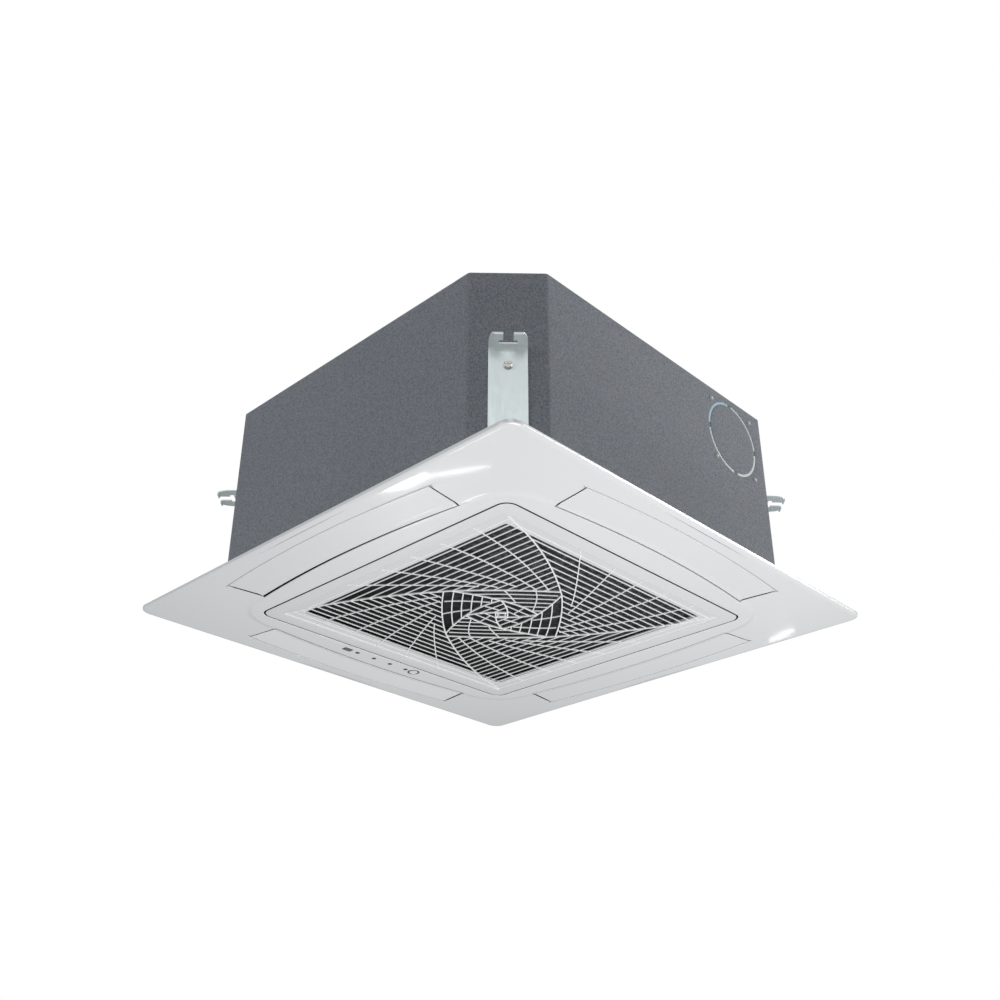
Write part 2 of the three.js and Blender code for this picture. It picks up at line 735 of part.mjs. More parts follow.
function refrigerantPipe(radius, y, z) {
  const start = vector(-coilMiddle, coilEnd + 2 * seat + plateGauge, z);
  const path = bentPath(start, vector(-coilMiddle, y, z), vector(-pipeEnd, y, z), pipeBend);
  const pipe = solid(tube(path, radius, 4, 12));
  return cut(pipe, solid(barX(radius - pipeWall, -pipeEnd - through, pipeBoreDepth - pipeEnd, y, z, 8)));
}

function flareNut(radius, y, z) {
  const outer = barX(radius + flareNutWall, -pipeEnd - flareNutLength, -pipeEnd + flareNutWall, y, z, 6);
  const bore = barX(radius + seat, -pipeEnd - flareNutLength - through, -pipeEnd + flareNutWall + through,
    y, z, 12);
  return cut(solid(outer), solid(bore));
}

function pipeCover() {
  const halfWidth = pipeHatchWidth / 2;
  const halfHeight = pipeHatchHeight / 2;
  const plate = solid(block(-casingHalf - seat - steelGauge, -casingHalf - seat,
    hatchY - halfWidth, hatchY + halfWidth, hatchZ - halfHeight, hatchZ + halfHeight));
  const holes = [[gasPipeRadius, gasPipeY, gasPipeHeight], [liquidPipeRadius, liquidPipeY, liquidPipeHeight]];
  return cut(plate, ...holes.map(([radius, y, z]) => solid(
    barX(radius + seat, -jacketFace, -linerInner, y, z, 16))));
}

place('gas_pipe', refrigerantPipe(gasPipeRadius, gasPipeY, gasPipeHeight), copper);
place('liquid_pipe', refrigerantPipe(liquidPipeRadius, liquidPipeY, liquidPipeHeight), copper);
place('gas_flare_nut', flareNut(gasPipeRadius, gasPipeY, gasPipeHeight), brass);
place('liquid_flare_nut', flareNut(liquidPipeRadius, liquidPipeY, liquidPipeHeight), brass);
place('pipe_cover', pipeCover(), zincSteel);

// ---- Drain pump, hose, outlet and cable gland ----
const pumpTop = coilBottom + pumpHeight;

function drainPump() {
  const profile = [[0, 0], [pumpRadius / 2, 0], [pumpRadius / 2, pumpStemHeight],
    [pumpRadius, pumpStemHeight + pumpShoulder], [pumpRadius, pumpHeight - pumpShoulder],
    [pumpRadius - pumpShoulder, pumpHeight], [0, pumpHeight]];
  return solid(turned(profile, 14).translate(-coilMiddle, coilMiddle, coilBottom));
}

function drainHose() {
  const start = vector(-coilMiddle, coilMiddle, pumpTop + seat);
  const corner = vector(-coilMiddle, coilMiddle, outletHeight);
  const end = vector(-coilMiddle, linerInner - coilMargin - seat, outletHeight);
  return solid(tube(bentPath(start, corner, end, hoseBend), hoseRadius, 4, 10));
}

function drainOutlet() {
  const inner = linerInner - coilMargin;
  const outer = jacketFace + outletReach;
  const spigot = solid(barY(outletRadius, inner, outer, -coilMiddle, outletHeight, 14));
  const bore = solid(barY(outletBore, inner - through, outer + through, -coilMiddle, outletHeight, 14));
  return cut(spigot, bore);
}

function cableGland() {
  const neckRadius = glandRadius - glandStep;
  const face = jacketFace + seat + glandLip;
  const neck = solid(barY(neckRadius, linerInner, face, -glandOffset, glandHeight, 14));
  const lip = solid(barY(glandRadius, face - glandLip, face, -glandOffset, glandHeight, 14));
  const bore = solid(barY(neckRadius - glandWall, linerInner - through, face + through, -glandOffset,
    glandHeight, 10));
  return cut(join(neck, lip), bore);
}

place('drain_pump', drainPump(), greyPlastic);
place('drain_hose', drainHose(), rubber);
place('drain_outlet', drainOutlet(), greyPlastic);
place('cable_gland', cableGland(), rubber);

// ---- Bell mouth, motor and fan ----
const plateBottom = panTop + seat;
const plateTop = plateBottom + mouthPlateThickness;

function bellMouth() {
  const half = troughInner - seat;
  const plate = solid(slab(roundedSquare(half, panWall), plateBottom, plateTop));
  const wall = mouthPlateThickness;
  const lip = plateBottom + throatHeight;
  const bend = plateBottom + throatHeight / 2;
  const middle = throatRadius + 1.5 * wall;
  const hole = solid(rod(mouthRadius, plateBottom - through, plateTop + through, 0, 0, 32));
  const horn = solid(turned([[mouthRadius - wall / 2, plateBottom], [mouthRadius + wall, plateBottom],
    [mouthRadius + wall, plateTop], [middle + wall, bend], [throatRadius + wall, lip],
    [throatRadius, lip], [middle, bend - wall], [mouthRadius - wall / 2, plateBottom]], 32));
  return join(cut(plate, hole), horn);
}

const mountBottom = casingTop - mountThickness;
const motorTop = mountBottom - damperThickness - 2 * seat;
const motorBottom = motorTop - motorHeight;

function fanMotor() {
  const boreTop = motorBottom + hubBossLength / 2;
  const profile = [[0, motorTop], [motorFlangeRadius, motorTop],
    [motorFlangeRadius, motorTop - motorFlangeThickness], [motorRadius, motorTop - motorFlangeThickness],
    [motorRadius, motorBottom + motorEdge], [motorRadius - motorEdge, motorBottom],
    [shaftRadius + runGap, motorBottom],
    [shaftRadius + runGap, boreTop], [0, boreTop]];
  return solid(turned(profile, 28));
}

const hubTop = motorBottom - hubBossDrop;
const hubBottom = hubTop - hubBossLength;
const kneeRise = shroudRise * kneeShare;

// Back plate of the fan: a shallow dish that clears the motor, with the boss in its middle.
function hubProfile() {
  const wall = shellThickness;
  const rise = wall / 3;
  const fillet = hubBossRadius + hubFillet;
  const bowl = motorRadius + motorRoom;
  const cone = motorRadius + dishWidth;
  return [[shaftRadius + seat, hubTop], [hubBossRadius, hubTop], [fillet, hubTop - hubDip],
    [bowl, hubTop - rise], [cone, fanTop - dishDrop], [fanRadius, fanTop], [fanRadius, fanTop - wall],
    [cone + rise, fanTop - wall - dishDrop], [bowl + rise, hubTop - wall - rise],
    [fillet, hubTop - wall - hubDip], [hubBossRadius, hubBottom], [shaftRadius + seat, hubBottom],
    [shaftRadius + seat, hubTop]];
}

function shroudProfile() {
  const wall = shellThickness;
  return [[eyeRadius, fanBottom], [eyeRadius + wall, fanBottom],
    [eyeRadius + 2 * wall, fanBottom + shroudNeck], [eyeRadius + shroudKnee, fanBottom + kneeRise],
    [fanRadius, fanBottom + shroudRise], [fanRadius, fanBottom + shroudRise + wall],
    [eyeRadius + shroudKnee - (2 * wall) / 3, fanBottom + kneeRise + wall],
    [eyeRadius + (2 * wall) / 3, fanBottom + shroudNeck + wall], [eyeRadius, fanBottom]];
}

// The room between shroud and back plate that the blades fill; it reaches a little into both.
function bladeRoom() {
  const wall = shellThickness;
  const into = wall / 3;
  const rim = fanRadius - bladeSetback;
  return solid(turned([[bladeInner, fanBottom + shroudRise - shroudNeck],
    [eyeRadius + wall, fanBottom + shroudNeck + wall - into / 2],
    [eyeRadius + shroudKnee - into, fanBottom + kneeRise + into],
    [rim, fanBottom + shroudRise + into], [rim, fanTop - wall / 2], [bladeInner, fanTop - wall + into / 2],
    [bladeInner, fanBottom + shroudRise - shroudNeck]], 24));
}

// One face of a blade: it falls back by the sweep, slower towards the rim.
function bladeFace(side) {
  const sweep = THREE.MathUtils.degToRad(bladeSweep);
  const points = [];
  for (let k = 0; k <= bladeSteps; k += 1) {
    const share = k / bladeSteps;
    const radius = bladeInner - through + bladeLength * share;
    const angle = -sweep * share * (2 - share) + (side * bladeThickness) / (2 * radius);
    points.push(new THREE.Vector2(radius * Math.cos(angle), radius * Math.sin(angle)));
  }
  return points;
}

function fanImpeller() {
  const blade = slab(new THREE.Shape([...bladeFace(-1), ...bladeFace(1).reverse()]), fanBottom, fanTop);
  const room = bladeRoom();
  const blades = [];
  for (let k = 0; k < bladeCount; k += 1) {
    const turn = (k * 2 * Math.PI) / bladeCount;
    blades.push(solid(blade.clone().rotateZ(turn)).intersect(room));
  }
  return join(solid(turned(hubProfile(), 24)), solid(turned(shroudProfile(), 24)), ...blades);
}

place('bell_mouth', bellMouth(), whitePlastic);
place('motor_mount', solid(rod(motorFlangeRadius + mountMargin, mountBottom, casingTop, 0, 0, 28)),
  zincSteel);
place('motor_damper', solid(turned([[motorRadius, motorTop + seat], [motorFlangeRadius, motorTop + seat],
  [motorFlangeRadius, mountBottom - seat], [motorRadius, mountBottom - seat],
  [motorRadius, motorTop + seat]], 28)), rubber);
place('fan_motor', fanMotor(), darkPlastic);
place('fan_impeller', fanImpeller(), greyPlastic);
place('fan_shaft', solid(rod(shaftRadius, hubBottom - nutHeight - shaftEnd,
  motorBottom + hubBossLength / 2 - seat, 0, 0, 16)), screwSteel);
place('fan_nut', cut(
  solid(rod(nutWidth / 2, hubBottom - seat - nutHeight, hubBottom - seat, 0, 0, 6)),
  solid(rod(shaftRadius + seat, hubBottom - nutHeight - through, hubBottom + through, 0, 0, 16)),
), brass);

// ---- Control box beside the bell mouth ----
const boxOuterX = -panInner + boxMargin;
const boxInnerX = boxOuterX + boxWidth;
const boxTop = plateBottom - seat;
const boxBottom = boxTop - boxDepth;

function controlBox() {
  const shell = solid(block(boxOuterX, boxInnerX, -boxLength / 2, boxLength / 2, boxBottom, boxTop));
  const inside = solid(block(boxOuterX + boxWall, boxInnerX - boxWall, boxWall - boxLength / 2,
    boxLength / 2 - boxWall, boxBottom - through, boxTop - boxWall));
  return cut(shell, inside);
}

// The board lies under the box's roof, and its parts hang from it. Each part's place is given as a
// share of the board's half width and half length.
function mainBoard() {
  const middleX = (boxOuterX + boxInnerX) / 2;
  const halfX = boxWidth / 2 - boxWall - seat;
  const halfY = boxLength / 2 - boxWall - boardMargin;
  const top = boxTop - boxWall - seat;
  const bottom = top - boardThickness;
  const root = top - boardThickness / 2;
  const can = (across, along, radius, height) => solid(
    rod(radius, bottom - height, root, middleX + across * halfX, along * halfY, 14));
  const brick = (across, along, width, length, height) => {
    const x = middleX + across * halfX;
    const y = along * halfY;
    return solid(block(x - width / 2, x + width / 2, y - length / 2, y + length / 2, bottom - height, root));
  };
  return join(
    solid(block(middleX - halfX, middleX + halfX, -halfY, halfY, bottom, top)),
    can(-0.42, -0.79, capacitorRadius, capacitorHeight),
    can(0.38, -0.75, smallCapacitorRadius, smallCapacitorHeight),
    brick(-0.3, -0.12, transformerWidth, transformerLength, transformerHeight),
    brick(0.5, -0.12, relayWidth, relayLength, relayHeight),
    brick(0, 0.41, socketWidth, socketLength, socketHeight),
    brick(-0.38, 0.77, chokeWidth, chokeLength, chokeHeight),
  );
}

place('control_box', controlBox(), zincSteel);
place('control_box_cover', solid(block(boxOuterX, boxInnerX, -boxLength / 2, boxLength / 2,
  boxBottom - seat - boxWall, boxBottom - seat)), zincSteel);
place('main_board', mainBoard(), boardGreen);

// ---- Panel ----
const slotShort = vaneLength / 2 + vaneGap - vaneEndSlant;
const slotAtAxis = slotShort + (vaneEndSlant * vaneAxisInset) / vaneWidth;
const motorStart = slotAtAxis + vanePinLength;
const pocketFloor = vaneMotorSkin - panelThickness;
const vaneAxisZ = -vaneAxisDrop;

// One air slot of the panel: the vane's bed below, and a duct that slants in to the body's channel.
function frontSlot() {
  const bedTop = vaneBedDepth - panelThickness;
  const bed = solid(slab(vanePlan(vaneGap), ringFace - through, bedTop, bowSegments));
  const top = panelCollar + through;
  const section = new THREE.Shape([
    new THREE.Vector2(-panOuter, top), new THREE.Vector2(vaneGap - vaneInnerEnd, bedTop - ductOverlap),
    new THREE.Vector2(-linerInner - ductSlant, bedTop - ductOverlap), new THREE.Vector2(-linerInner, top),
  ]);
  const duct = slab(section, -slotAtAxis, slotAtAxis).rotateX(quarter).rotateZ(quarter);
  return join(bed, solid(duct));
}

function frontSlotFittings() {
  const y = -vaneAxis;
  const pocket = block(motorStart, motorStart + vaneMotorLength + 2 * vaneMotorFit,
    y - vaneMotorWidth / 2 - vaneMotorFit, y + vaneMotorWidth / 2 + vaneMotorFit,
    pocketFloor, panelCollar + through);
  const bore = barX(vanePinRadius + runGap, -motorStart - seat, motorStart + through, y, vaneAxisZ, 10);
  return join(solid(pocket), solid(bore));
}

// Cut-outs for the window, the lamps, the button and the board behind them.
const stripX = -(openingHalf + stripInset);
const stripFloor = ringFace + faceSkin;

function stripCuts() {
  const halfRoom = windowWidth / 2 + stripMargin;
  const y0 = -windowOffset - windowLength / 2 - stripBoardMargin;
  const y1 = buttonOffset + buttonRadius + stripEndMargin;
  const room = solid(block(stripX - halfRoom, stripX + halfRoom, y0, y1, stripFloor, panBottom));
  const windowHole = solid(block(stripX - windowWidth / 2, stripX + windowWidth / 2,
    -windowOffset - windowLength / 2, -windowOffset + windowLength / 2, ringFace - through,
    stripFloor + through));
  const buttonHole = solid(rod(buttonRadius + runGap, ringFace - through, stripFloor + through,
    stripX, buttonOffset, 18));
  const lampHoles = lampPlaces().map((y) => solid(
    rod(lampRadius, ringFace - through, stripFloor + through, stripX, y, 8)));
  return [room, windowHole, buttonHole, ...lampHoles];
}

function lampPlaces() {
  const places = [];
  for (let k = 0; k < lampCount; k += 1) places.push((k - (lampCount - 1) / 2) * lampSpacing);
  return places;
}

// Tabs across the opening's corners, one over each panel screw.
function screwTabs() {
  const near = panelScrewPlace + panelScrewHead + tabMargin;
  const tab = block(panelScrewPlace - tabWidth / 2, openingHalf + through, -near,
    -near + tabWidth, 0, panelCollar);
  const mirrored = tab.clone().rotateZ(2 * quarter);
  const other = block(-openingHalf - through, tabWidth / 2 - panelScrewPlace, -near,
    -near + tabWidth, 0, panelCollar);
  return [tab, mirrored, other, other.clone().rotateZ(2 * quarter)].map(solid);
}

function panelScrewHole() {
  const sink = panelScrewHead + screwGap;
  const shank = panelScrewRadius + screwGap;
  const edge = panelScrewSink + seat;
  return turned([[0, -through], [sink, -through], [sink, edge], [shank, sink - shank + edge],
    [shank, panelCollar + through], [0, panelCollar + through]], 10)
    .translate(panelScrewPlace, -panelScrewPlace, 0);
}

function hingePinHole(grow) {
  const y = grilleHalf - grillePivotInset;
  const inner = grilleHalf - hingePinGrip;
  const pin = solid(barX(hingePinRadius + grow, inner - grow, inner + hingePinLength + grow, y,
    -grillePivotDrop, 8));
  return [solid(geometryOf(pin).translate(-2 * inner - hingePinLength, 0, 0)), pin];
}

function latchNotches() {
  return [-latchOffset, latchOffset].map((x) => solid(block(x - latchWidth / 2, x + latchWidth / 2,
    -openingHalf - latchTravel - latchPlay, -openingHalf + through, grilleBack - panelScrewSink,
    grilleBack + latchHeight + 2 * seat)));
}

function panelFrame() {
  const plate = solid(slab(roundedSquare(panelHalf, panelCornerRadius), -panelThickness, 0, 4));
  const ring = solid(slab(ringPlan(), ringFace, -panelThickness / 2, bowSegments));
  const collar = solid(slab(roundedSquare(collarHalf, panelCornerRadius), -through, panelCollar, 3));
  const innerWall = block(-slotAtAxis, slotAtAxis, -panOuter, -openingHalf + through,
    panelCollar - through, panBottom - seat);
  const opening = solid(slab(roundedSquare(openingHalf, openingRadius), ringFace - through,
    panBottom, 3));
  const slots = sides.map((side, k) => spun(frontSlot(), k));
  const fittings = sides.map((side, k) => spun(frontSlotFittings(), k));
  const body = cut(join(plate, ring, collar, ...turnedCopies(innerWall)), opening, ...slots,
    ...fittings, ...stripCuts(), ...hingePinHole(hingePinFit), ...latchNotches());
  const holes = turnedCopies(panelScrewHole());
  return cut(join(body, ...screwTabs()), ...holes);
}

place('panel_frame', panelFrame(), whitePlastic);
place('panel_seal', frame(octagon(-seat), octagon(-seat - sealWidth), panelCollar + seat,
  casingBottom - seat), blackFoam);

const [leftPin, rightPin] = hingePinHole(0);
place('hinge_pin_left', leftPin, screwSteel);
place('hinge_pin_right', rightPin, screwSteel);

function panelScrew() {
  const face = panelScrewSink;
  const edge = face + seat;
  return turned([[0, face], [panelScrewHead, face], [panelScrewHead, edge],
    [panelScrewRadius, edge + panelScrewHead - panelScrewRadius], [panelScrewRadius, panelScrewLength],
    [0, panelScrewLength]], 10)
    .translate(panelScrewPlace, -panelScrewPlace, 0);
}
const onePanelScrew = solid(panelScrew());
corners.forEach((corner, k) => {
  place(`panel_screw_${corner}`, onePanelScrew, screwSteel, k);
});

// ---- Vanes and the small motors that turn them ----
function frontVane() {
  const bottom = -panelThickness;
  const blade = solid(slab(vanePlan(0), bottom, bottom + vaneThickness, bowSegments));
  const spine = solid(barX(vanePinRadius, -motorStart, motorStart, -vaneAxis, vaneAxisZ, 10));
  return join(blade, spine);
}

function frontVaneMotor() {
  const x0 = motorStart + vaneMotorFit;
  const y = -vaneAxis;
  const z0 = pocketFloor + seat;
  return solid(block(x0, x0 + vaneMotorLength, y - vaneMotorWidth / 2, y + vaneMotorWidth / 2, z0,
    z0 + vaneMotorHeight));
}

sides.forEach((side, k) => {
  place(`vane_${side}`, frontVane(), whitePlastic, k);
  place(`vane_motor_${side}`, frontVaneMotor(), darkPlastic, k);
});

// ---- Window, lamps, board and button of the indicator strip ----
const lampBarTop = stripFloor + seat + lampBarThickness;
const boardBottom = lampBarTop + seat;

function receiverWindow() {
  const fit = windowFit;
  const pane = solid(block(stripX - windowWidth / 2 + fit, stripX + windowWidth / 2 - fit,
    -windowOffset - windowLength / 2 + fit, -windowOffset + windowLength / 2 - fit,
    ringFace + fit, lampBarTop));
  const rim = solid(block(stripX - windowWidth / 2 - windowRim, stripX + windowWidth / 2 + windowRim,
    -windowOffset - windowLength / 2 - windowRim, -windowOffset + windowLength / 2 + windowRim / 2,
    stripFloor + seat, lampBarTop));
  return join(pane, rim);
}

function indicatorLens() {
  const places = lampPlaces();
  const half = lampBarWidth / 2;
  const bar = solid(block(stripX - half, stripX + half, places[0] - half, places[lampCount - 1] + half,
    stripFloor + seat, lampBarTop));
  const lamps = places.map((y) => solid(
    rod(lampRadius - seat, ringFace + seat, stripFloor + lampRoot, stripX, y, 8)));
  return join(bar, ...lamps);
}

function resetButton() {
  const cap = solid(rod(buttonRadius, ringFace - buttonProud, stripFloor + lampRoot, stripX,
    buttonOffset, 18));
  const flange = solid(rod(buttonRadius + buttonFlange, stripFloor + seat, boardBottom - seat - buttonTravel,
    stripX, buttonOffset, 18));
  return join(cap, flange);
}

place('receiver_window', receiverWindow(), smokedLens);
place('indicator_lens', indicatorLens(), smokedLens);
place('indicator_board', solid(block(stripX - windowWidth / 2 - stripBoardMargin,
  stripX + windowWidth / 2 + stripBoardMargin, -windowOffset - windowLength / 2 - windowRim,
  buttonOffset + buttonRadius + stripBoardMargin, boardBottom, boardBottom + boardThickness)), boardGreen);
place('reset_button', resetButton(), whitePlastic);

// ---- Intake grille ----
// The louvre pattern repeats by quarter turns. One rib runs in from each corner of the opening,
// passes a corner of the turned square (the diamond) and ends as one bowed side of the inner square.
const ribStart = [ledgeHalf - louvreCornerRadius, louvreCornerRadius - ledgeHalf];
const diamondCorner = [diamondReach, diamondTwist];
const squareCorner = [innerSquare + innerTwist, innerSquare - innerTwist];

function arcPoints([x0, y0], [cx, cy], [x1, y1], steps) {
  const curve = new THREE.QuadraticBezierCurve(new THREE.Vector2(x0, y0), new THREE.Vector2(cx, cy),
    new THREE.Vector2(x1, y1));
  return curve.getPoints(steps);
}

function turnBack([x, y]) {
  return [y, -x];
}

// A band of even width along a line of points, drawn out a little at both ends.
function band(points, width) {
  const overshoot = width / 2;
  const line = points.map((point) => point.clone());
  const first = line[0].clone().sub(line[1]).setLength(overshoot);
  const last = line.at(-1).clone().sub(line.at(-2)).setLength(overshoot);
  line[0].add(first);
  line[line.length - 1].add(last);
  const left = [];
  const right = [];
  line.forEach((point, k) => {
    const before = line[Math.max(k - 1, 0)];
    const after = line[Math.min(k + 1, line.length - 1)];
    const across = after.clone().sub(before).normalize().multiplyScalar(width / 2);
    left.push(new THREE.Vector2(point.x - across.y, point.y + across.x));
    right.push(new THREE.Vector2(point.x + across.y, point.y - across.x));
  });
  return new THREE.Shape([...left, ...right.reverse()]);
}

const slatFront = ringFace + ledgeDepth + slatSetback;
const slatBack = slatFront + slatDepth;
const cornerControl = [ledgeHalf * 0.875, -ledgeHalf * 0.5];
const innerControl = [diamondReach * 0.635, innerSquare * 0.9];
const outerArc = arcPoints(ribStart, cornerControl, diamondCorner, 5);
const innerArc = arcPoints(diamondCorner, innerControl, squareCorner, 3);
const squareSide = arcPoints(squareCorner, [0, innerSquare + 2 * innerBow],
  [-squareCorner[1], squareCorner[0]], 3);
const diamondControl = diamondReach / 2 + 2 * diamondBow * Math.SQRT1_2;
const diamondSide = arcPoints(diamondCorner, [diamondControl, -diamondControl],
  turnBack(diamondCorner), 4);
const spiral = arcPoints(turnBack(squareCorner), [0.72 * innerSquare, -0.4 * innerSquare],
  [0, spiralReach], 3);
const backTurn = (points) => points.map((point) => new THREE.Vector2(...turnBack([point.x, point.y])));

const ribBack = slatBack + crossRibDepth;

// The pattern's own ribs are as deep as slats and cross ribs together.
function ribSolid(points) {
  return solid(slab(band(points, ribThickness), slatFront, ribBack));
}

function crossRibSolid(points) {
  return solid(slab(band(points, slatThickness), slatBack, ribBack));
}

function sectorSolid(points) {
  return solid(slab(new THREE.Shape(points), slatFront - through, slatBack + through));
}

function slatsAt(distances, reach, turn) {
  return distances.map((distance) => solid(
    block(-reach, reach, -distance - slatThickness / 2, slatThickness / 2 - distance, slatFront, slatBack)
      .rotateZ(turn)));
}

function steps(first, pitch, limit) {
  const values = [];
  for (let value = first; value <= limit; value += pitch) values.push(value);
  return values;
}

// Cross ribs of the front sector, each a bowed line from the frame to the diamond: its start along
// the frame, its bend and its end, as shares of the louvre opening's half width.
const crossRibs = [
  [-0.36, [-0.03, -0.75], [0.22, -0.47]],
  [0.12, [0.3, -0.67], [0.38, -0.36]],
  [0.62, [0.62, -0.58], [0.51, -0.14]],
];

function crossRib([start, bend, end]) {
  const sized = ([x, y]) => [x * louvreHalf, y * louvreHalf];
  return crossRibSolid(arcPoints([start * louvreHalf, -louvreHalf - through], sized(bend), sized(end), 2));
}

function louvreQuarter() {
  const outerSector = sectorSolid([...outerArc, ...diamondSide.slice(1),
    ...backTurn(outerArc).slice(0, -1).reverse()]);
  const diamondSector = sectorSolid([...innerArc, ...backTurn(squareSide).slice(0, -1).reverse(),
    ...backTurn(innerArc).slice(0, -1).reverse(), ...diamondSide.slice(1, -1).reverse()]);
  const squareSector = sectorSolid([new THREE.Vector2(0, 0), ...backTurn(backTurn(squareSide)).reverse()]);
  const outerSlats = slatsAt(steps(firstSlat, slatPitch, louvreHalf - slatThickness), ledgeHalf, 0);
  const diamondSlat = diamondReach / Math.SQRT2 - diamondSlatInset;
  const diamondSlats = slatsAt(steps(diamondSlat - (diamondSlatCount - 1) * slatPitch, slatPitch,
    diamondSlat + seat), diamondReach, quarter / 2);
  const innerSlats = slatsAt(steps(innerSlat, slatPitch, innerSquare - slatPitch / 2),
    innerSquare + innerBow, 0);
  const pieces = [
    ...outerSlats.map((slat) => slat.intersect(outerSector)),
    ...diamondSlats.map((slat) => slat.intersect(diamondSector)),
    ...innerSlats.map((slat) => slat.intersect(squareSector)),
    ribSolid([...outerArc, ...innerArc.slice(1), ...squareSide.slice(1)]),
    ribSolid(diamondSide),
    ribSolid(spiral),
    ...crossRibs.map(crossRib),
  ];
  return join(...pieces);
}

function grille() {
  const outer = solid(slab(roundedSquare(grilleHalf, openingRadius - grilleGap), ringFace, grilleBack, 3));
  const opening = solid(slab(roundedSquare(louvreHalf, louvreCornerRadius), ringFace - through,
    grilleBack + through));
  const ledge = solid(slab(roundedSquare(ledgeHalf, louvreCornerRadius), ringFace - through,
    ringFace + ledgeDepth));
  const quarterLouvre = louvreQuarter();
  const louvres = join(...sides.map((side, k) => spun(quarterLouvre, k)));
  const hole = solid(rod(centreRingRadius - centreRingWidth, ringFace, grilleBack, 0, 0, 12));
  const centre = cut(solid(rod(centreRingRadius, slatFront, ribBack, 0, 0, 12)), hole);
  const bounds = solid(slab(roundedSquare(louvreHalf + through, louvreCornerRadius), slatFront, ribBack));
  return cut(join(cut(outer, opening, ledge), cut(louvres.intersect(bounds), hole), centre),
    ...hingePinHole(runGap));
}

place('grille', grille(), louvrePlastic);

function airFilter() {
  const half = louvreHalf + filterMargin;
  const bottom = grilleBack + seat;
  const top = bottom + filterHeight;
  const rim = frame(roundedSquare(half, filterBar), roundedSquare(half - filterBar, filterBar / 2),
    bottom, top);
  const reach = half - filterNetInset;
  const netBottom = bottom + filterNetInset;
  const net = solid(block(-reach, reach, -reach, reach, netBottom, netBottom + filterNetThickness));
  const bars = [];
  for (let k = 1; k <= filterBarCount; k += 1) {
    const left = (2 * half * k) / (filterBarCount + 1) - half - filterBarWidth / 2;
    bars.push(solid(block(left, left + filterBarWidth, -reach, reach, bottom + seat, top - seat)));
  }
  return join(rim, net, ...bars);
}

function latch(x) {
  const edge = -grilleHalf + seat;
  const bottom = grilleBack + seat;
  const halfBolt = latchWidth / 2 - latchPlay;
  const bolt = solid(block(x - halfBolt, x + halfBolt, edge, edge + latchLength,
    bottom, bottom + latchHeight - seat));
  const thumbEnd = edge + latchLength - latchThumbLength;
  const thumb = solid(block(x - latchWidth / 3, x + latchWidth / 3, thumbEnd - latchThumbLength,
    thumbEnd, bottom, bottom + latchHeight + through));
  return join(bolt, thumb);
}

place('air_filter', airFilter(), darkPlastic);
place('grille_latch_left', latch(-latchOffset), greyPlastic);
place('grille_latch_right', latch(latchOffset), greyPlastic);

export default cassette;
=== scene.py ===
import json
import math

import bpy
import numpy as np
from mathutils import Matrix, Vector


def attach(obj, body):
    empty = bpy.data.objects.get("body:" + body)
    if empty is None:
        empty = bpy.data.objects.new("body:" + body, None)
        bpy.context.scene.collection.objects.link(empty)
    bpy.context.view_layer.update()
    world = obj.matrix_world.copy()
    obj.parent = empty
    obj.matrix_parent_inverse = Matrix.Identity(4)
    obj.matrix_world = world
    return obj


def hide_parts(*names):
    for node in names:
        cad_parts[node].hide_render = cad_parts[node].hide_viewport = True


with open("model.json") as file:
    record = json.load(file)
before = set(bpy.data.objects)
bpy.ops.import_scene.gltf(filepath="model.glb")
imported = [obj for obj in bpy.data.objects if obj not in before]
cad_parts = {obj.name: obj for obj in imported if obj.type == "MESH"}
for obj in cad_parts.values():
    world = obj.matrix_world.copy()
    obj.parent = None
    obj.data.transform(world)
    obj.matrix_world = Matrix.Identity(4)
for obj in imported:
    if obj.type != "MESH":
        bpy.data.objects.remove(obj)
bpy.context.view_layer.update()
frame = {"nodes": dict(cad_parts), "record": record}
mm = 0.001
sideNames = ["front", "right", "back", "left"]
cornerNames = ["front_right", "back_right", "back_left", "front_left"]


# Four-cornered faces between neighbouring rows and columns of points, row by row.
def gridFaces(rows, cols, keep=None, wrap=False):
    r = np.arange(rows - 1)[:, None]
    c = np.arange(cols if wrap else cols - 1)[None, :]
    after = (c + 1) % cols
    quads = np.stack([r * cols + c, r * cols + after, (r + 1) * cols + after, (r + 1) * cols + c], -1)
    return quads[keep] if keep is not None else quads.reshape(-1, 4)


# A closed piece from two facing sheets of the same cells: every edge that only one cell has
# gets a wall from the first sheet to the second.
def closeSheet(front, back, quads):
    n = len(front)
    edges = np.concatenate([quads[:, [i, (i + 1) % 4]] for i in range(4)])
    edges = edges[edges[:, 0] != edges[:, 1]]
    rim = edges[~np.isin(edges[:, 0] * n + edges[:, 1], edges[:, 1] * n + edges[:, 0])]
    walls = np.stack([rim[:, 1], rim[:, 0], rim[:, 0] + n, rim[:, 1] + n], -1)
    faces = np.concatenate([quads, quads[:, ::-1] + n, walls])
    return np.concatenate([front, back]), faces


# A section carried along a line: point = line + across * section x + up * section y, ends capped.
def sweep(line, across, up, section):
    rows, cols = len(line), len(section)
    points = line[:, None] + across[:, None] * section[None, :, :1] + up[:, None] * section[None, :, 1:]
    ends = np.stack([points[0].mean(0), points[-1].mean(0)])
    ring = np.arange(cols)
    after = (ring + 1) % cols
    first = np.stack([after, ring, np.full(cols, rows * cols), np.full(cols, rows * cols)], -1)
    base = (rows - 1) * cols
    last = np.stack([base + ring, base + after, np.full(cols, rows * cols + 1),
                     np.full(cols, rows * cols + 1)], -1)
    faces = np.concatenate([gridFaces(rows, cols, wrap=True), first, last])
    return np.concatenate([points.reshape(-1, 3), ends]), faces


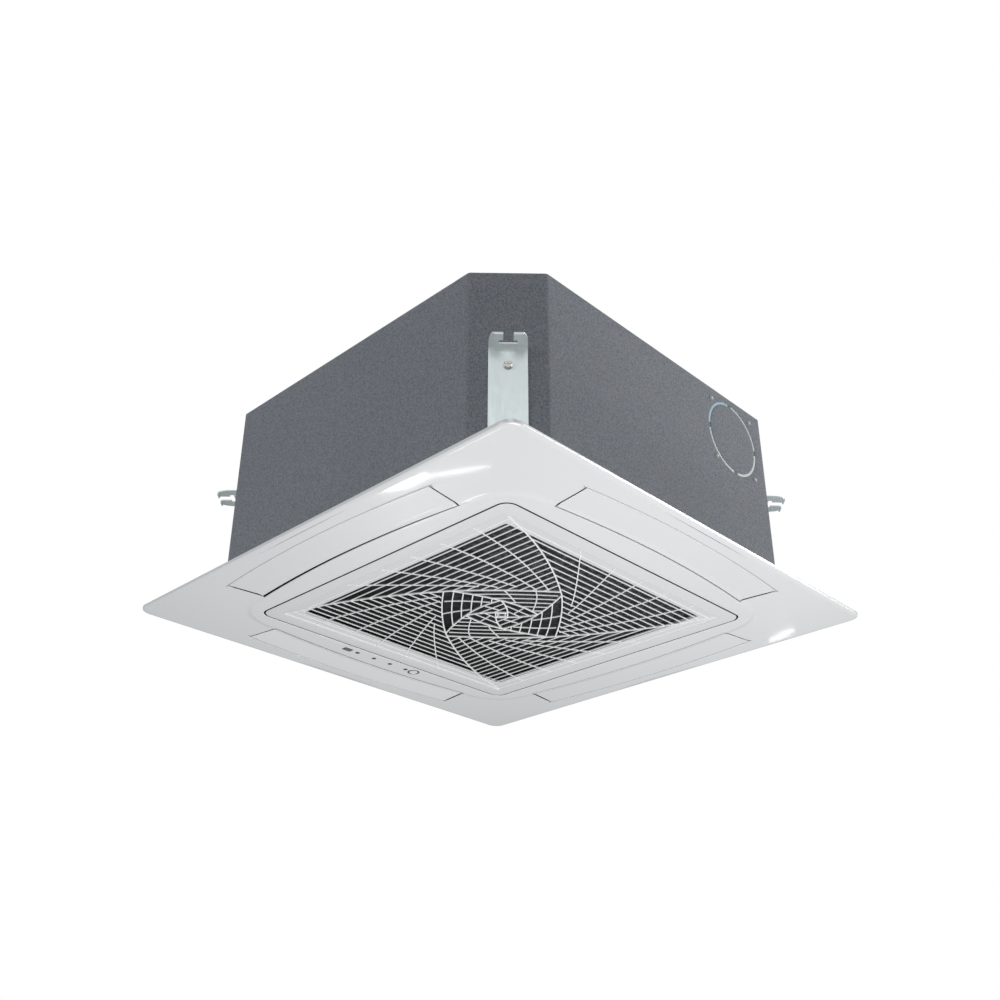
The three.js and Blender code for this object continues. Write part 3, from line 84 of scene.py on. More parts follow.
# A round tube along a line, its section carried on without twist from point to point.
def tube(line, radius, sides=20):
    along = np.gradient(line, axis=0)
    along /= np.linalg.norm(along, axis=1, keepdims=True)
    start = np.cross(along[0], [0.31, 0.22, 0.92])
    acrossList = [start / np.linalg.norm(start)]
    for step in along[1:]:
        carried = acrossList[-1] - step * np.dot(acrossList[-1], step)
        acrossList.append(carried / np.linalg.norm(carried))
    across = np.array(acrossList)
    angle = np.linspace(0, 2 * np.pi, sides, endpoint=False)
    section = np.stack([np.cos(angle), np.sin(angle)], -1) * radius
    return sweep(line, across, np.cross(along, across), section)


# A profile of radius and height turned round the Z axis: x = r cos a, y = r sin a, z = h.
# It starts and ends on the axis, or closes on itself.
def turned(profile, sides=64, closes=False):
    profile = np.array(profile, float)
    angle = np.linspace(0, 2 * np.pi, sides, endpoint=False)
    ring = np.stack([np.cos(angle), np.sin(angle), np.zeros(sides)], -1)
    points = profile[:, None, :1] * ring[None] + profile[:, None, 1:] * np.array([0, 0, 1.0])
    rows = len(profile)
    if closes:
        faces = gridFaces(rows + 1, sides, wrap=True) % (rows * sides)
    else:
        faces = gridFaces(rows, sides, wrap=True)
        faces[faces < sides] = 0
        faces[faces >= (rows - 1) * sides] = (rows - 1) * sides
    return points.reshape(-1, 3), faces


# A rounded box: the corners of its plan are quarter circles and its long edges are cut at 45 degrees.
def roundedBlock(x0, x1, y0, y1, z0, z1, radius, edge=0.3):
    angle = np.linspace(0, 0.5 * np.pi, 6)
    quarter = np.stack([np.cos(angle), np.sin(angle)], -1) * radius
    turn = np.array([[0, 1], [-1, 0]])
    centres = [(x1, y1), (x0, y1), (x0, y0), (x1, y0)]
    inwards = [(-1, -1), (1, -1), (1, 1), (-1, 1)]
    outline = np.concatenate([
        np.array(centre) + np.array(inward) * radius + quarter @ np.linalg.matrix_power(turn, k)
        for k, (centre, inward) in enumerate(zip(centres, inwards))])
    middle = outline.mean(0)
    shrink = 1 - edge / (0.5 * min(x1 - x0, y1 - y0))
    narrow = middle + (outline - middle) * shrink
    rings = [(narrow, z0), (outline, z0 + edge), (outline, z1 - edge), (narrow, z1)]
    points = np.concatenate([np.column_stack([plan, np.full(len(plan), z)]) for plan, z in rings])
    cols = len(outline)
    points = np.concatenate([points, [[*middle, z0], [*middle, z1]]])
    ring = np.arange(cols)
    after = (ring + 1) % cols
    low = np.stack([after, ring, np.full(cols, 4 * cols), np.full(cols, 4 * cols)], -1)
    high = np.stack([3 * cols + ring, 3 * cols + after, np.full(cols, 4 * cols + 1),
                     np.full(cols, 4 * cols + 1)], -1)
    return points, np.concatenate([gridFaces(4, cols, wrap=True), low, high])


# The same solid turned about the Z axis by quarter turns, which may be fractions.
def spun(part, quarters):
    angle = quarters * math.pi / 2
    c, s = math.cos(angle), math.sin(angle)
    return part[0] @ np.array([[c, s, 0], [-s, c, 0], [0, 0, 1]]), part[1]


def shifted(part, x, y, z):
    return part[0] + np.array([x, y, z]), part[1]


# Axis Z of a turned piece laid along +X.
def alongX(part):
    return part[0][:, [2, 0, 1]], part[1]


# Joins closed parts into one mesh object that moves with a body; repeated corners of a face
# are dropped, so that a quad with two equal corners becomes a triangle.
def addPiece(name, parts, body, material, replaced=(), sharpAngle=38):
    points = np.concatenate([part[0] for part in parts]) * mm
    starts = np.cumsum([0] + [len(part[0]) for part in parts[:-1]])
    faces = np.concatenate([part[1] + start for part, start in zip(parts, starts)])
    used, inverse = np.unique(faces, return_inverse=True)
    faces = inverse.reshape(faces.shape)
    same = faces == np.roll(faces, -1, axis=1)
    faces = faces[same.sum(1) < 2]
    same = faces == np.roll(faces, -1, axis=1)
    triangles = faces[same.any(1)]
    if len(triangles):
        order = (np.argmax(same[same.any(1)], 1)[:, None] + 1 + np.arange(3)) % 4
        triangles = np.take_along_axis(triangles, order, 1)
    quads = faces[~same.any(1)]
    mesh = bpy.data.meshes.new(name)
    mesh.from_pydata((points[used]).tolist(), [], quads.tolist() + triangles[:, :3].tolist())
    mesh.polygons.foreach_set("use_smooth", np.ones(len(mesh.polygons), bool))
    mesh.set_sharp_from_angle(angle=math.radians(sharpAngle))
    mesh.materials.append(material)
    piece = bpy.data.objects.new(name, mesh)
    bpy.context.scene.collection.objects.link(piece)
    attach(piece, body)
    if replaced:
        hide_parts(*replaced)
    return piece


# A shader socket that takes part in ordinary sums.
class Value:
    def __init__(self, tree, socket):
        self.tree = tree
        self.socket = socket

    def maths(self, operation, first, second):
        node = self.tree.nodes.new("ShaderNodeMath")
        node.operation = operation
        for index, term in enumerate((first, second)):
            if isinstance(term, Value):
                self.tree.links.new(term.socket, node.inputs[index])
            else:
                node.inputs[index].default_value = term
        return Value(self.tree, node.outputs[0])

    def __add__(self, other):
        return self.maths("ADD", self, other)

    def __radd__(self, other):
        return self.maths("ADD", other, self)

    def __sub__(self, other):
        return self.maths("SUBTRACT", self, other)

    def __rsub__(self, other):
        return self.maths("SUBTRACT", other, self)

    def __mul__(self, other):
        return self.maths("MULTIPLY", self, other)

    def __rmul__(self, other):
        return self.maths("MULTIPLY", other, self)

    def __truediv__(self, other):
        return self.maths("DIVIDE", self, other)

    def __rtruediv__(self, other):
        return self.maths("DIVIDE", other, self)


# One material: a principled surface whose varying inputs come from object coordinates.
class Finish:
    def __init__(self, name):
        self.material = bpy.data.materials.new(name)
        self.material.use_nodes = True
        self.tree = self.material.node_tree
        self.tree.nodes.clear()
        self.surface = self.tree.nodes.new("ShaderNodeBsdfPrincipled")
        output = self.tree.nodes.new("ShaderNodeOutputMaterial")
        self.tree.links.new(self.surface.outputs[0], output.inputs[0])
        self.place = self.node("ShaderNodeTexCoord", output="Object")

    def node(self, kind, inputs=None, output=0, **settings):
        node = self.tree.nodes.new(kind)
        for key, setting in settings.items():
            setattr(node, key, setting)
        for key, term in (inputs or {}).items():
            self.feed(node.inputs[key], term)
        return Value(self.tree, node.outputs[output])

    def feed(self, socket, term):
        if isinstance(term, Value):
            self.tree.links.new(term.socket, socket)
        elif socket.type == "RGBA":
            socket.default_value = (*term, 1.0)
        else:
            socket.default_value = term

    def maths(self, operation, *terms):
        return self.node("ShaderNodeMath", dict(enumerate(terms)), operation=operation)

    def either(self, first, second):
        return self.maths("MAXIMUM", first, second)

    def noise(self, scale, detail=2.0, roughness=0.5, place=None):
        inputs = {"Vector": place or self.place, "Scale": scale, "Detail": detail,
                  "Roughness": roughness}
        return self.node("ShaderNodeTexNoise", inputs)

    # A value squeezed to 0..1 between two limits.
    def between(self, value, low, high):
        inputs = {"Value": value, "From Min": low, "From Max": high}
        return self.node("ShaderNodeMapRange", inputs, clamp=True)

    # 1 where a value is over a limit, or under it, after a short fade from 0 at the limit.
    def over(self, value, limit, fade):
        return self.between(value, limit, limit + fade)

    def under(self, value, limit, fade):
        return self.between(value, limit, limit - fade)

    def mix(self, share, first, second):
        return self.node("ShaderNodeMix", {0: share, 6: first, 7: second}, 2, data_type="RGBA")

    def set(self, **inputs):
        for key, term in inputs.items():
            self.feed(self.surface.inputs[key.replace("_", " ")], term)
        return self

    # The three object coordinates, in metres.
    def axes(self):
        x = self.node("ShaderNodeSeparateXYZ", {0: self.place})
        return [Value(self.tree, socket) for socket in x.socket.node.outputs]

    # Distance from the two middle planes, the larger first, and height, all in millimetres.
    def squarePlace(self):
        x, y, z = self.axes()
        x, y = self.maths("ABSOLUTE", x), self.maths("ABSOLUTE", y)
        return self.maths("MAXIMUM", x, y) / mm, self.maths("MINIMUM", x, y) / mm, z / mm

    # How far a point lies towards the front or the left side, whichever is more, in millimetres.
    def frontOrLeft(self):
        x, y = self.axes()[:2]
        return self.maths("MAXIMUM", 0 - x, 0 - y) / mm

    def bump(self, height, strength, distance):
        normal = self.node("ShaderNodeBump", {"Height": height, "Strength": strength,
                                              "Distance": distance})
        return self.set(Normal=normal)


# Black of the shade painted deep inside the gaps between parts.
gapShadeBlack = (0.012, 0.012, 0.013)


# Moulded plastic: slow cloudiness in the colour, fine grain in the gloss. Where a rule for the
# gaps is given, shade is painted dark deep inside them.
def plastic(name, colour, rough, grain=0.0, coat=0.0, specular=0.5, gaps=None):
    made = Finish(name)
    cloud = made.between(made.noise(3.1, 3.0), 0.3, 0.7)
    darker = tuple(0.965 * c for c in colour)
    fine = made.noise(900.0, 1.0)
    base = made.mix(cloud, darker, colour)
    # Painted shade: dark where the gap rule says.
    if gaps:
        base = made.mix(gaps(made), base, gapShadeBlack)
    made.set(Base_Color=base, Roughness=rough + (fine - 0.5) * 0.06, Coat_Weight=coat,
             Coat_Roughness=0.04, Specular_IOR_Level=specular)
    if grain:
        made.bump(made.noise(1500.0, 2.0), grain, 0.0002)
    return made.material


# Sheet metal: faint cloudy spangle and fine lines of rolling along Z.
def sheetMetal(name, colour, rough, spangle=0.5, metallic=0.9):
    made = Finish(name)
    stretched = made.node("ShaderNodeMapping", {"Vector": made.place, "Scale": (900.0, 900.0, 25.0)})
    rolling = made.noise(1.0, 2.0, place=stretched)
    cells = made.node("ShaderNodeTexVoronoi", {"Vector": made.place, "Scale": 160.0}, output="Color")
    tint = made.node("ShaderNodeSeparateColor", {"Color": cells})
    darker = tuple(0.86 * c for c in colour)
    share = tint * spangle + (1 - spangle) * made.noise(14.0, 3.0)
    made.set(Base_Color=made.mix(share, darker, colour), Metallic=metallic,
             Roughness=rough + (rolling - 0.5) * 0.2 + (tint - 0.5) * 0.08)
    return made.bump(rolling, 0.08, 0.0002).material


# Felt: pale and dark fibres mixed at about a millimetre, over a slow cloud, with a fibrous surface.
def felt(name, dark, middle, pale, warm):
    made = Finish(name)
    blotch = made.between(made.noise(420.0, 3.0, 0.65), 0.40, 0.60)
    speck = made.between(made.noise(700.0, 3.0, 0.7), 0.54, 0.68)
    hue = made.between(made.noise(300.0, 2.0), 0.46, 0.62)
    cloud = made.between(made.noise(5.0, 3.0), 0.35, 0.65)
    base = made.mix(blotch, dark, middle)
    base = made.mix(hue * 0.45, base, warm)
    base = made.mix(speck * 0.6, base, pale)
    base = made.mix(cloud * 0.12, base, dark)
    made.set(Base_Color=base, Roughness=0.85 + (speck - 0.5) * 0.1, Specular_IOR_Level=0.25,
             Sheen_Weight=0.12)
    return made.bump(made.noise(950.0, 4.0, 0.7), 0.5, 0.0008).material


# Open-celled foam.
def foam(name, colour, rough=0.95):
    made = Finish(name)
    cells = made.noise(420.0, 4.0, 0.7)
    darker = tuple(0.7 * c for c in colour)
    made.set(Base_Color=made.mix(made.between(cells, 0.35, 0.65), darker, colour),
             Roughness=rough + (cells - 0.5) * 0.08)
    return made.bump(cells, 0.4, 0.0008).material


# Woven net: fine bars along X and Y, with painted shade between them. The bars are painted dark too, with
# painted light in patches that grow stronger towards +X.
def net(name, bars, gaps, pitch):
    made = Finish(name)
    x, y = made.axes()[:2]
    lines = [made.between(made.maths("SINE", across * 2 * math.pi / pitch), 0.55, 0.85)
             for across in (x, y)]
    weave = made.either(*lines)
    # Painted light on the net: in patches, stronger towards +X.
    patches = made.between(made.noise(110.0, 4.0, 0.75), 0.48, 0.62)
    side = made.between(x, -0.10, 0.16)
    made.set(Base_Color=made.mix(weave * (0.06 + side * (0.14 + 0.80 * patches)), gaps, bars),
             Roughness=0.6 + (patches - 0.5) * 0.2, Specular_IOR_Level=0.08)
    return made.bump(weave, 0.4, 0.0004).material


# Closely stacked fins: light fin edges alternating with upright lines of painted shade between them, round
# the coil.
def fins(name, colour, pitch):
    made = Finish(name)
    x, y = made.axes()[:2]
    line = made.between(made.maths("SINE", (x + y) * 2 * math.pi / pitch), -0.4, 0.4)
    made.set(Base_Color=made.mix(line, tuple(0.25 * c for c in colour), colour), Metallic=0.75,
             Roughness=0.4 + (made.noise(60.0) - 0.5) * 0.2)
    return made.bump(line, 0.5, 0.0005).material


# Circuit board: green lacquer with paler tracks.
def circuit(name, colour):
    made = Finish(name)
    tracks = made.node("ShaderNodeTexVoronoi", {"Vector": made.place, "Scale": 140.0},
                       feature="DISTANCE_TO_EDGE")
    line = made.between(tracks, 0.04, 0.07)
    made.set(Base_Color=made.mix(line, (0.30, 0.46, 0.30), colour), Roughness=0.35 + line * 0.1)
    return made.material


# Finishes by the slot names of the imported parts; the panel and the grille add theirs below.
materials = {
    "zinc": sheetMetal("zincSheet", (0.82, 0.88, 0.88), 0.46, 0.3, 0.3),
    "screw": sheetMetal("screwSteel", (0.56, 0.52, 0.51), 0.42, 0.1, 0.8),
    "felt": felt("greyFelt", (0.125, 0.146, 0.172), (0.24, 0.258, 0.288), (0.44, 0.455, 0.48),
                 (0.245, 0.225, 0.225)),
    "black_foam": foam("blackFoam", (0.022, 0.022, 0.024)),
    "pale_foam": foam("paleFoam", (0.72, 0.73, 0.74), 0.8),
    "fins": fins("coilFins", (0.62, 0.65, 0.68), 0.0024),
    "copper": sheetMetal("copperTube", (0.80, 0.42, 0.26), 0.3, 0.4, 0.95),
    "brass": sheetMetal("brassNut", (0.78, 0.60, 0.30), 0.28, 0.1, 0.95),
    "dark_plastic": net("filterNet", (0.27, 0.285, 0.30), (0.003, 0.003, 0.0033), 0.0022),
    "grey_plastic": plastic("greyPlastic", (0.20, 0.21, 0.22), 0.5, 0.1),
    "rubber": plastic("blackRubber", (0.016, 0.016, 0.017), 0.75, 0.2, specular=0.3),
    "board": circuit("circuitBoard", (0.03, 0.16, 0.075)),
    "smoked": plastic("smokedLens", (0.012, 0.012, 0.014), 0.12, coat=0.5),
}
# Dull black of the motors and the lamps, also used as the painted shade of the groove round the button.
blackAndGrooveShade = plastic("blackAndGrooveShade", (0.03, 0.031, 0.034), 0.45, 0.1)
topSheet = sheetMetal("topSheet", (0.66, 0.70, 0.70), 0.7, 0.3, 0.1)


# Columns of the contours that run round all four sides, in each half corner and along each middle.
contour = {"cornerSteps": 26, "middleSteps": 64}


# Half a corner of a rounded square, from the end of a side's middle to the diagonal, evenly spaced:
# straight, then an eighth of a circle.
def roundCorner(half, radius, start):
    straight = half - radius - start
    arc = radius * math.pi / 4
    s = np.linspace(0, 1, contour["cornerSteps"] + 1) * (straight + arc)
    a = np.clip(s - straight, 0, None) / radius
    x = np.where(s < straight, start + s, half - radius + radius * np.sin(a))
    return np.stack([x, np.where(s < straight, half, half - radius + radius * np.cos(a))], -1)


# Half a corner as the first half of a parabola between two points with its control on the diagonal.
def softCorner(along, out, control):
    t = np.linspace(0, 0.5, contour["cornerSteps"] + 1)[:, None]
    first, middle, last = np.array([along, out]), np.array([control, control]), np.array([out, along])
    return first * (1 - t) ** 2 + middle * 2 * t * (1 - t) + last * t ** 2


# The whole contour: on each side a half corner, a middle bowed by bow * 4t(1-t), and a half corner.
def roundContour(corner, bow=0.0):
    along, out = corner[0]
    t = np.linspace(0, 1, contour["middleSteps"] + 1)
    middle = np.stack([along * (2 * t - 1), out + 4 * bow * t * (1 - t)], -1)
    side = np.concatenate([corner[:0:-1] * [-1, 1], middle, corner[1:-1]]) * [1, -1]
    turns = [side @ np.array([[math.cos(a), math.sin(a)], [-math.sin(a), math.cos(a)]])
             for a in np.arange(4) * math.pi / 2]
    return np.concatenate(turns)


# Share of corner in each column: 0 along the middle of a side, rising smoothly to 1 in the corner.
def cornerShare(reach=0.3):
    w = np.linspace(0, 1, contour["cornerSteps"] + 1)
    s = np.clip(w / reach, 0, 1)
    rise = s * s * (3 - 2 * s)
    side = np.concatenate([rise[:0:-1], np.zeros(contour["middleSteps"] + 1), rise[1:-1]])
    return np.tile(side, 4)


# A row of points between two contours, at a share of the way or at a distance from either one,
# which is kept under half the way where the contours run close together.
def rowBetween(first, second, share=None, near=None, far=None):
    step = second - first
    length = np.linalg.norm(step, axis=1, keepdims=True)
    if share is not None:
        return first + step * share
    if near is not None:
        return first + step / length * np.minimum(near, near / (near + 12.0) * length)
    return second - step / length * np.minimum(far, 0.45 * length * far / (far + 0.6))


def withHeight(plan, height):
    return np.column_stack([plan, np.broadcast_to(height, len(plan))])


# The decorative panel, from its square edge in to the opening for the grille.
panel = {
    "half": 350.0, "cornerRadius": 16.0, "rimFace": -6.0, "rimEdge": 2.6, "rimTurn": 8.0,
    "openingHalf": 233.7, "openingRadius": 16.8, "openingMiddle": 181.0, "edgeMiddle": 197.0,
    "slotInner": 260.5, "slotOuter": 314.5, "slotBow": 11.0, "slotHalfInner": 185.0,
    "slotHalfOuter": 192.0, "ringControl": 259.0, "rimControl": 322.0, "ringFace": -7.5,
    "collarTop": 5.0, "wallTop": 9.2, "coveWidth": 9.0, "coveDepth": 1.5,
    "latchAlong": 73.5, "notchHalf": 12.0, "notchFloor": -3.6,
}
# Where shade is painted dark inside the panel's gaps: heights over which a gap starts, and places across it.
panelShadeLimits = {
    "grilleHeight": -7.0, "grilleReach": 236.0,
    "innerHeight": -6.75, "innerFrom": 246.0, "innerTo": 300.0, "innerHalf": 184.8, "slotSlant": 0.13,
    "endHeight": -5.7, "endFrom": 183.5, "endTo": 314.0,
    "outerHeight": -5.8, "outerFrom": 312.0, "outerTo": 328.5, "outerStrength": 0.5,
    "ceiling": -0.3,
}


# Painted shade in the gaps of the panel: round the grille, beside the inner edges of the front and left
# vanes between the slots' slanted ends, at those ends, and fainter along the outer edges; all under the
# ceiling.
def panelGapShade(made):
    g = panelShadeLimits
    larger, smaller, height = made.squarePlace()
    towards = made.frontOrLeft()
    grilleGap = made.over(height, g["grilleHeight"], 0.1) * made.under(larger, g["grilleReach"], 0.5)
    inSlot = smaller - (larger - panel["slotInner"]) * g["slotSlant"]
    innerGap = (made.over(height, g["innerHeight"], 0.15) * made.under(towards, g["innerTo"], 1.0)
                * made.over(towards, g["innerFrom"], 1.0) * made.under(inSlot, g["innerHalf"], 0.3))
    ends = (made.over(height, g["endHeight"], 0.2) * made.under(larger, g["endTo"], 10.0)
            * made.over(smaller, g["endFrom"], 0.5))
    outerGap = (made.over(height, g["outerHeight"], 0.15) * made.under(larger, g["outerTo"], 0.5)
                * made.over(larger, g["outerFrom"], 1.0) * g["outerStrength"])
    below = made.under(height, g["ceiling"], 0.3)
    return made.either(made.either(grilleGap, innerGap), made.either(ends, outerGap)) * below


def buildPanel():
    p = panel
    ring, rim = p["ringFace"], p["rimFace"]
    opening = roundContour(roundCorner(p["openingHalf"], p["openingRadius"], p["openingMiddle"]))
    inner = roundContour(softCorner(p["slotHalfInner"], p["slotInner"], p["ringControl"]), p["slotBow"])
    outer = roundContour(softCorner(p["slotHalfOuter"], p["slotOuter"], p["rimControl"]), p["slotBow"])
    edge = roundContour(roundCorner(p["half"], p["cornerRadius"], p["edgeMiddle"]))
    corner, quick = cornerShare(), cornerShare(0.05)

    # Each row: its plan, its height beside a vane, its height in a corner where that differs, and its
    # height on the back. Outside the ring is a cove: height = rim - depth * (1 - d / width)^2.
    rows = [
        (rowBetween(opening, inner, near=0.0), ring + 0.9, ring + 0.9, p["wallTop"]),
        (rowBetween(opening, inner, near=0.12), ring + 0.45, ring + 0.45, p["wallTop"]),
        (rowBetween(opening, inner, near=0.4), ring + 0.14, ring + 0.14, p["wallTop"]),
        (rowBetween(opening, inner, near=1.0), ring, ring, p["wallTop"]),
        (rowBetween(opening, inner, near=6.0), ring, ring, p["wallTop"]),
        (rowBetween(opening, inner, near=12.3), ring, ring, p["wallTop"]),
        (rowBetween(opening, inner, near=12.6), ring, ring, p["collarTop"]),
        (rowBetween(opening, inner, near=16.0), ring, ring, p["collarTop"]),
        (rowBetween(opening, inner, far=7.0), ring, ring, p["collarTop"]),
        (rowBetween(opening, inner, far=4.0), ring, ring, p["collarTop"]),
        (rowBetween(opening, inner, far=1.6), ring + 0.02, ring + 0.02, p["collarTop"]),
        (rowBetween(opening, inner, far=0.8), ring + 0.1, ring + 0.06, p["collarTop"]),
        (rowBetween(opening, inner, far=0.3), ring + 0.3, ring + 0.12, p["collarTop"]),
        (rowBetween(opening, inner, share=1.0), ring + 0.7, ring + 0.2, p["collarTop"]),
    ]
    slotStart = len(rows) - 1
    for share in (0.025, 0.05, 0.075, 0.1, 0.13, 0.16, 0.2, 0.25, 0.32, 0.45, 0.6, 0.8):
        plan = rowBetween(inner, outer, share=share)
        far = np.linalg.norm(plan - inner, axis=1)
        rows.append((plan, rim - p["coveDepth"] * np.clip(1 - far / p["coveWidth"], 0, 1) ** 2, None,
                     p["collarTop"]))
    slotEnd = len(rows)
    rows += [
        (rowBetween(outer, edge, near=0.0), rim + 0.75, rim, 0.0),
        (rowBetween(outer, edge, near=0.2), rim + 0.32, rim, 0.0),
        (rowBetween(outer, edge, near=0.6), rim + 0.08, rim, 0.0),
        (rowBetween(outer, edge, near=1.4), rim, rim, 0.0),
    ]

    for share in (0.15, 0.3, 0.45, 0.6, 0.7):
        rows.append((rowBetween(outer, edge, share=share), rim, None, 0.0))
    # The rim's edge is a quarter of an ellipse: in = width * (1 - sin a), up = height * (1 - cos a).
    for a in np.linspace(0, 0.5 * math.pi, 12):
        rows.append((rowBetween(outer, edge, far=p["rimTurn"] * (1 - math.sin(a))),
                     rim + p["rimEdge"] * (1 - math.cos(a)), None, -0.3 * (a / 0.5 / math.pi) ** 4))
    front, back = [], []
    for plan, beside, inCorner, behind in rows:
        if inCorner is not None:
            beside = beside + (inCorner - beside) * (quick if beside > rim else corner)
        front.append(withHeight(plan, beside))
        back.append(withHeight(plan, behind))
    # Notches for the grille's two latches, behind the front wall of the opening.
    for row in back[:5]:
        atLatch = np.abs(np.abs(row[:, 0]) - p["latchAlong"]) < p["notchHalf"]
        row[atLatch & (row[:, 1] < -p["openingHalf"] + 1), 2] = p["notchFloor"]
    cols = len(opening)
    keep = np.ones((len(rows) - 1, cols), bool)
    inMiddle = np.zeros(cols, bool)
    perSide = 2 * contour["cornerSteps"] + contour["middleSteps"]
    for side in range(4):
        first = side * perSide + contour["cornerSteps"]
        inMiddle[first:first + contour["middleSteps"]] = True
    keep[slotStart:slotEnd, inMiddle] = False
    quads = gridFaces(len(rows), cols, keep, wrap=True)
    return [closeSheet(np.concatenate(front), np.concatenate(back), quads[:, ::-1])]


# Gloss white, with shade painted dark inside the panel's gaps.
materials["panel_white"] = plastic("glossWhite", (0.80, 0.805, 0.812), 0.22, coat=0.6, gaps=panelGapShade)
addPiece("panelFrame", buildPanel(), "unit", materials["panel_white"], ["panel_frame"], 32)
print("panel built")


# The four bowed vanes, alike but for where their inner edge runs, how pale each is painted for the light that
# falls on it, and where the painted shade at its inner edge starts.
vane = {
    "outer": 314.0, "bow": 11.0, "halfInner": 182.6, "halfOuter": 189.6,
    "face": -6.0, "back": -2.5, "coveWidth": 9.0, "coveDepth": 1.2, "edge": 0.45,
    "axis": 280.5, "axisHeight": -1.0, "pinRadius": 2.5, "pinHalf": 194.5, "easing": 1.2,
    "gapInner": 262.4, "gapWidth": 50.5, "gapHalf": 186.0, "gapHeight": -5.5, "gapTop": -2.6,
    # Per side: inner edge, skew, colour with painted light, and where the painted gap shade starts.
    "sides": {
        "front": {"inner": 263.2, "skew": 1.4, "toneWithPaintedLight": 0.80, "gapShadeStart": -3.0},
        "right": {"inner": 262.8, "skew": 0.0, "toneWithPaintedLight": 0.80, "gapShadeStart": 1.2},
        "back": {"inner": 262.8, "skew": 0.0, "toneWithPaintedLight": 0.81, "gapShadeStart": 1.2},
        "left": {"inner": 262.8, "skew": 0.0, "toneWithPaintedLight": 0.88, "gapShadeStart": -3.0},
    },
}


# Painted shade at the edges of a vane: its face drops by depth * (1 - d / width)^2 at a distance d from
# the bowed inner edge, and what lies above that face is in a gap and is painted dark. The outer edge, and
# the inner one where the painted shade starts past it, stay as they are.
def vaneGapShade(gapShadeStart):
    v = vane

    def gaps(made):
        larger, smaller, height = made.squarePlace()
        bend = smaller / v["gapHalf"]
        fromEdge = larger - v["gapInner"] - (1 - bend * bend) * v["bow"]
        rise = made.under(fromEdge, v["coveWidth"], v["coveWidth"])
        inside = made.under(fromEdge, v["gapWidth"], 8.5) * made.over(fromEdge, gapShadeStart, 0.3)
        aboveFace = made.over(height + rise * rise * v["coveDepth"], v["gapHeight"], 0.15)
        return aboveFace * made.under(height, v["gapTop"], 0.2) * inside
    return gaps


# The blade's face drops towards its inner edge as depth * (1 - d / width)^2; its edges are eased.
def buildVane(inner, skew):
    v = vane
    t = np.concatenate([[0, 0.0006, 0.0016, 0.0035], np.linspace(0.01, 0.99, 62),
                        [0.9965, 0.9984, 0.9994, 1]])
    width = v["outer"] - inner
    across = np.concatenate([[0, 0.15, 0.5, 1.2], np.linspace(2.2, v["coveWidth"] + 2, 12),
                             np.linspace(18, width - 2.5, 8),
                             [width - 1.4, width - 0.7, width - 0.25, width]])
    share = across[:, None] / width
    bowed = 4 * v["bow"] * t * (1 - t)
    x = (v["halfInner"] + (v["halfOuter"] - v["halfInner"]) * share) * (2 * t - 1)[None]
    y = -(inner + across[:, None] + bowed[None] - skew * (2 * t - 1)[None] * (1 - share))
    cove = v["coveDepth"] * np.clip(1 - across / v["coveWidth"], 0, 1) ** 2
    reach = v["easing"]
    easedAcross = np.clip(1 - np.minimum(across, width - across) / reach, 0, 1) ** 2
    ends = np.abs(1 - np.abs(2 * t - 1)) * v["halfOuter"]
    easedAlong = np.clip(1 - ends / reach, 0, 1) ** 2
    z = v["face"] - cove[:, None] + v["edge"] * np.maximum(easedAcross[:, None], easedAlong[None])
    front = np.stack([x, y, z], -1).reshape(-1, 3)
    back = front.copy()
    back[:, 2] = v["back"]
    quads = gridFaces(len(across), len(t))
    blade = closeSheet(front, back, quads)
    line = np.column_stack([np.linspace(-v["pinHalf"], v["pinHalf"], 3), np.full(3, -v["axis"]),
                            np.full(3, v["axisHeight"])])
    return [blade, tube(line, v["pinRadius"], 24)]


for index, side in enumerate(sideNames):
    own = vane["sides"][side]
    parts = [spun(part, index) for part in buildVane(own["inner"], own["skew"])]
    # Each vane's colour holds painted light: the left one is painted paler for the light that falls on it.
    colour = (own["toneWithPaintedLight"], own["toneWithPaintedLight"] + 0.005, own["toneWithPaintedLight"] + 0.012)
    finish = plastic("vaneWhite" + side.capitalize(), colour, 0.22, coat=0.6,
                     gaps=vaneGapShade(own["gapShadeStart"]))
    addPiece("vane" + side.capitalize(), parts, "vane_" + side, finish,
             ["vane_" + side], 32)
print("vanes built")


# The intake grille: its frame, the ledge inside the frame, and the bars.
grille = {
    "half": 231.5, "radius": 15.0, "face": -7.5, "back": -1.5,
    "openHalf": 190.5, "openRadius": 3.0, "ledgeHalf": 209.6, "ledgeRadius": 5.0, "ledgeFloor": -5.8,
    "openMiddle": 150.0, "ledgeMiddle": 163.0, "outerMiddle": 180.0,
    "slatPitch": 11.95, "firstSlat": 18.25, "slats": 16, "slatWidth": 1.8, "slatFront": -6.3,
    "slatBack": -5.1, "ribWidth": 2.0, "ribFront": -7.0, "ribBack": -4.9, "crossWidth": 1.5,
    "crossFront": -6.7, "innerPitch": 13.1, "innerSlats": 5, "middleRing": 5.5, "linkReach": 10.5,
    "lastSlat": [(-206, -209.3), (0, -209.3), (208, -209.3)], "squareSlats": (25.1, 13.2),
}
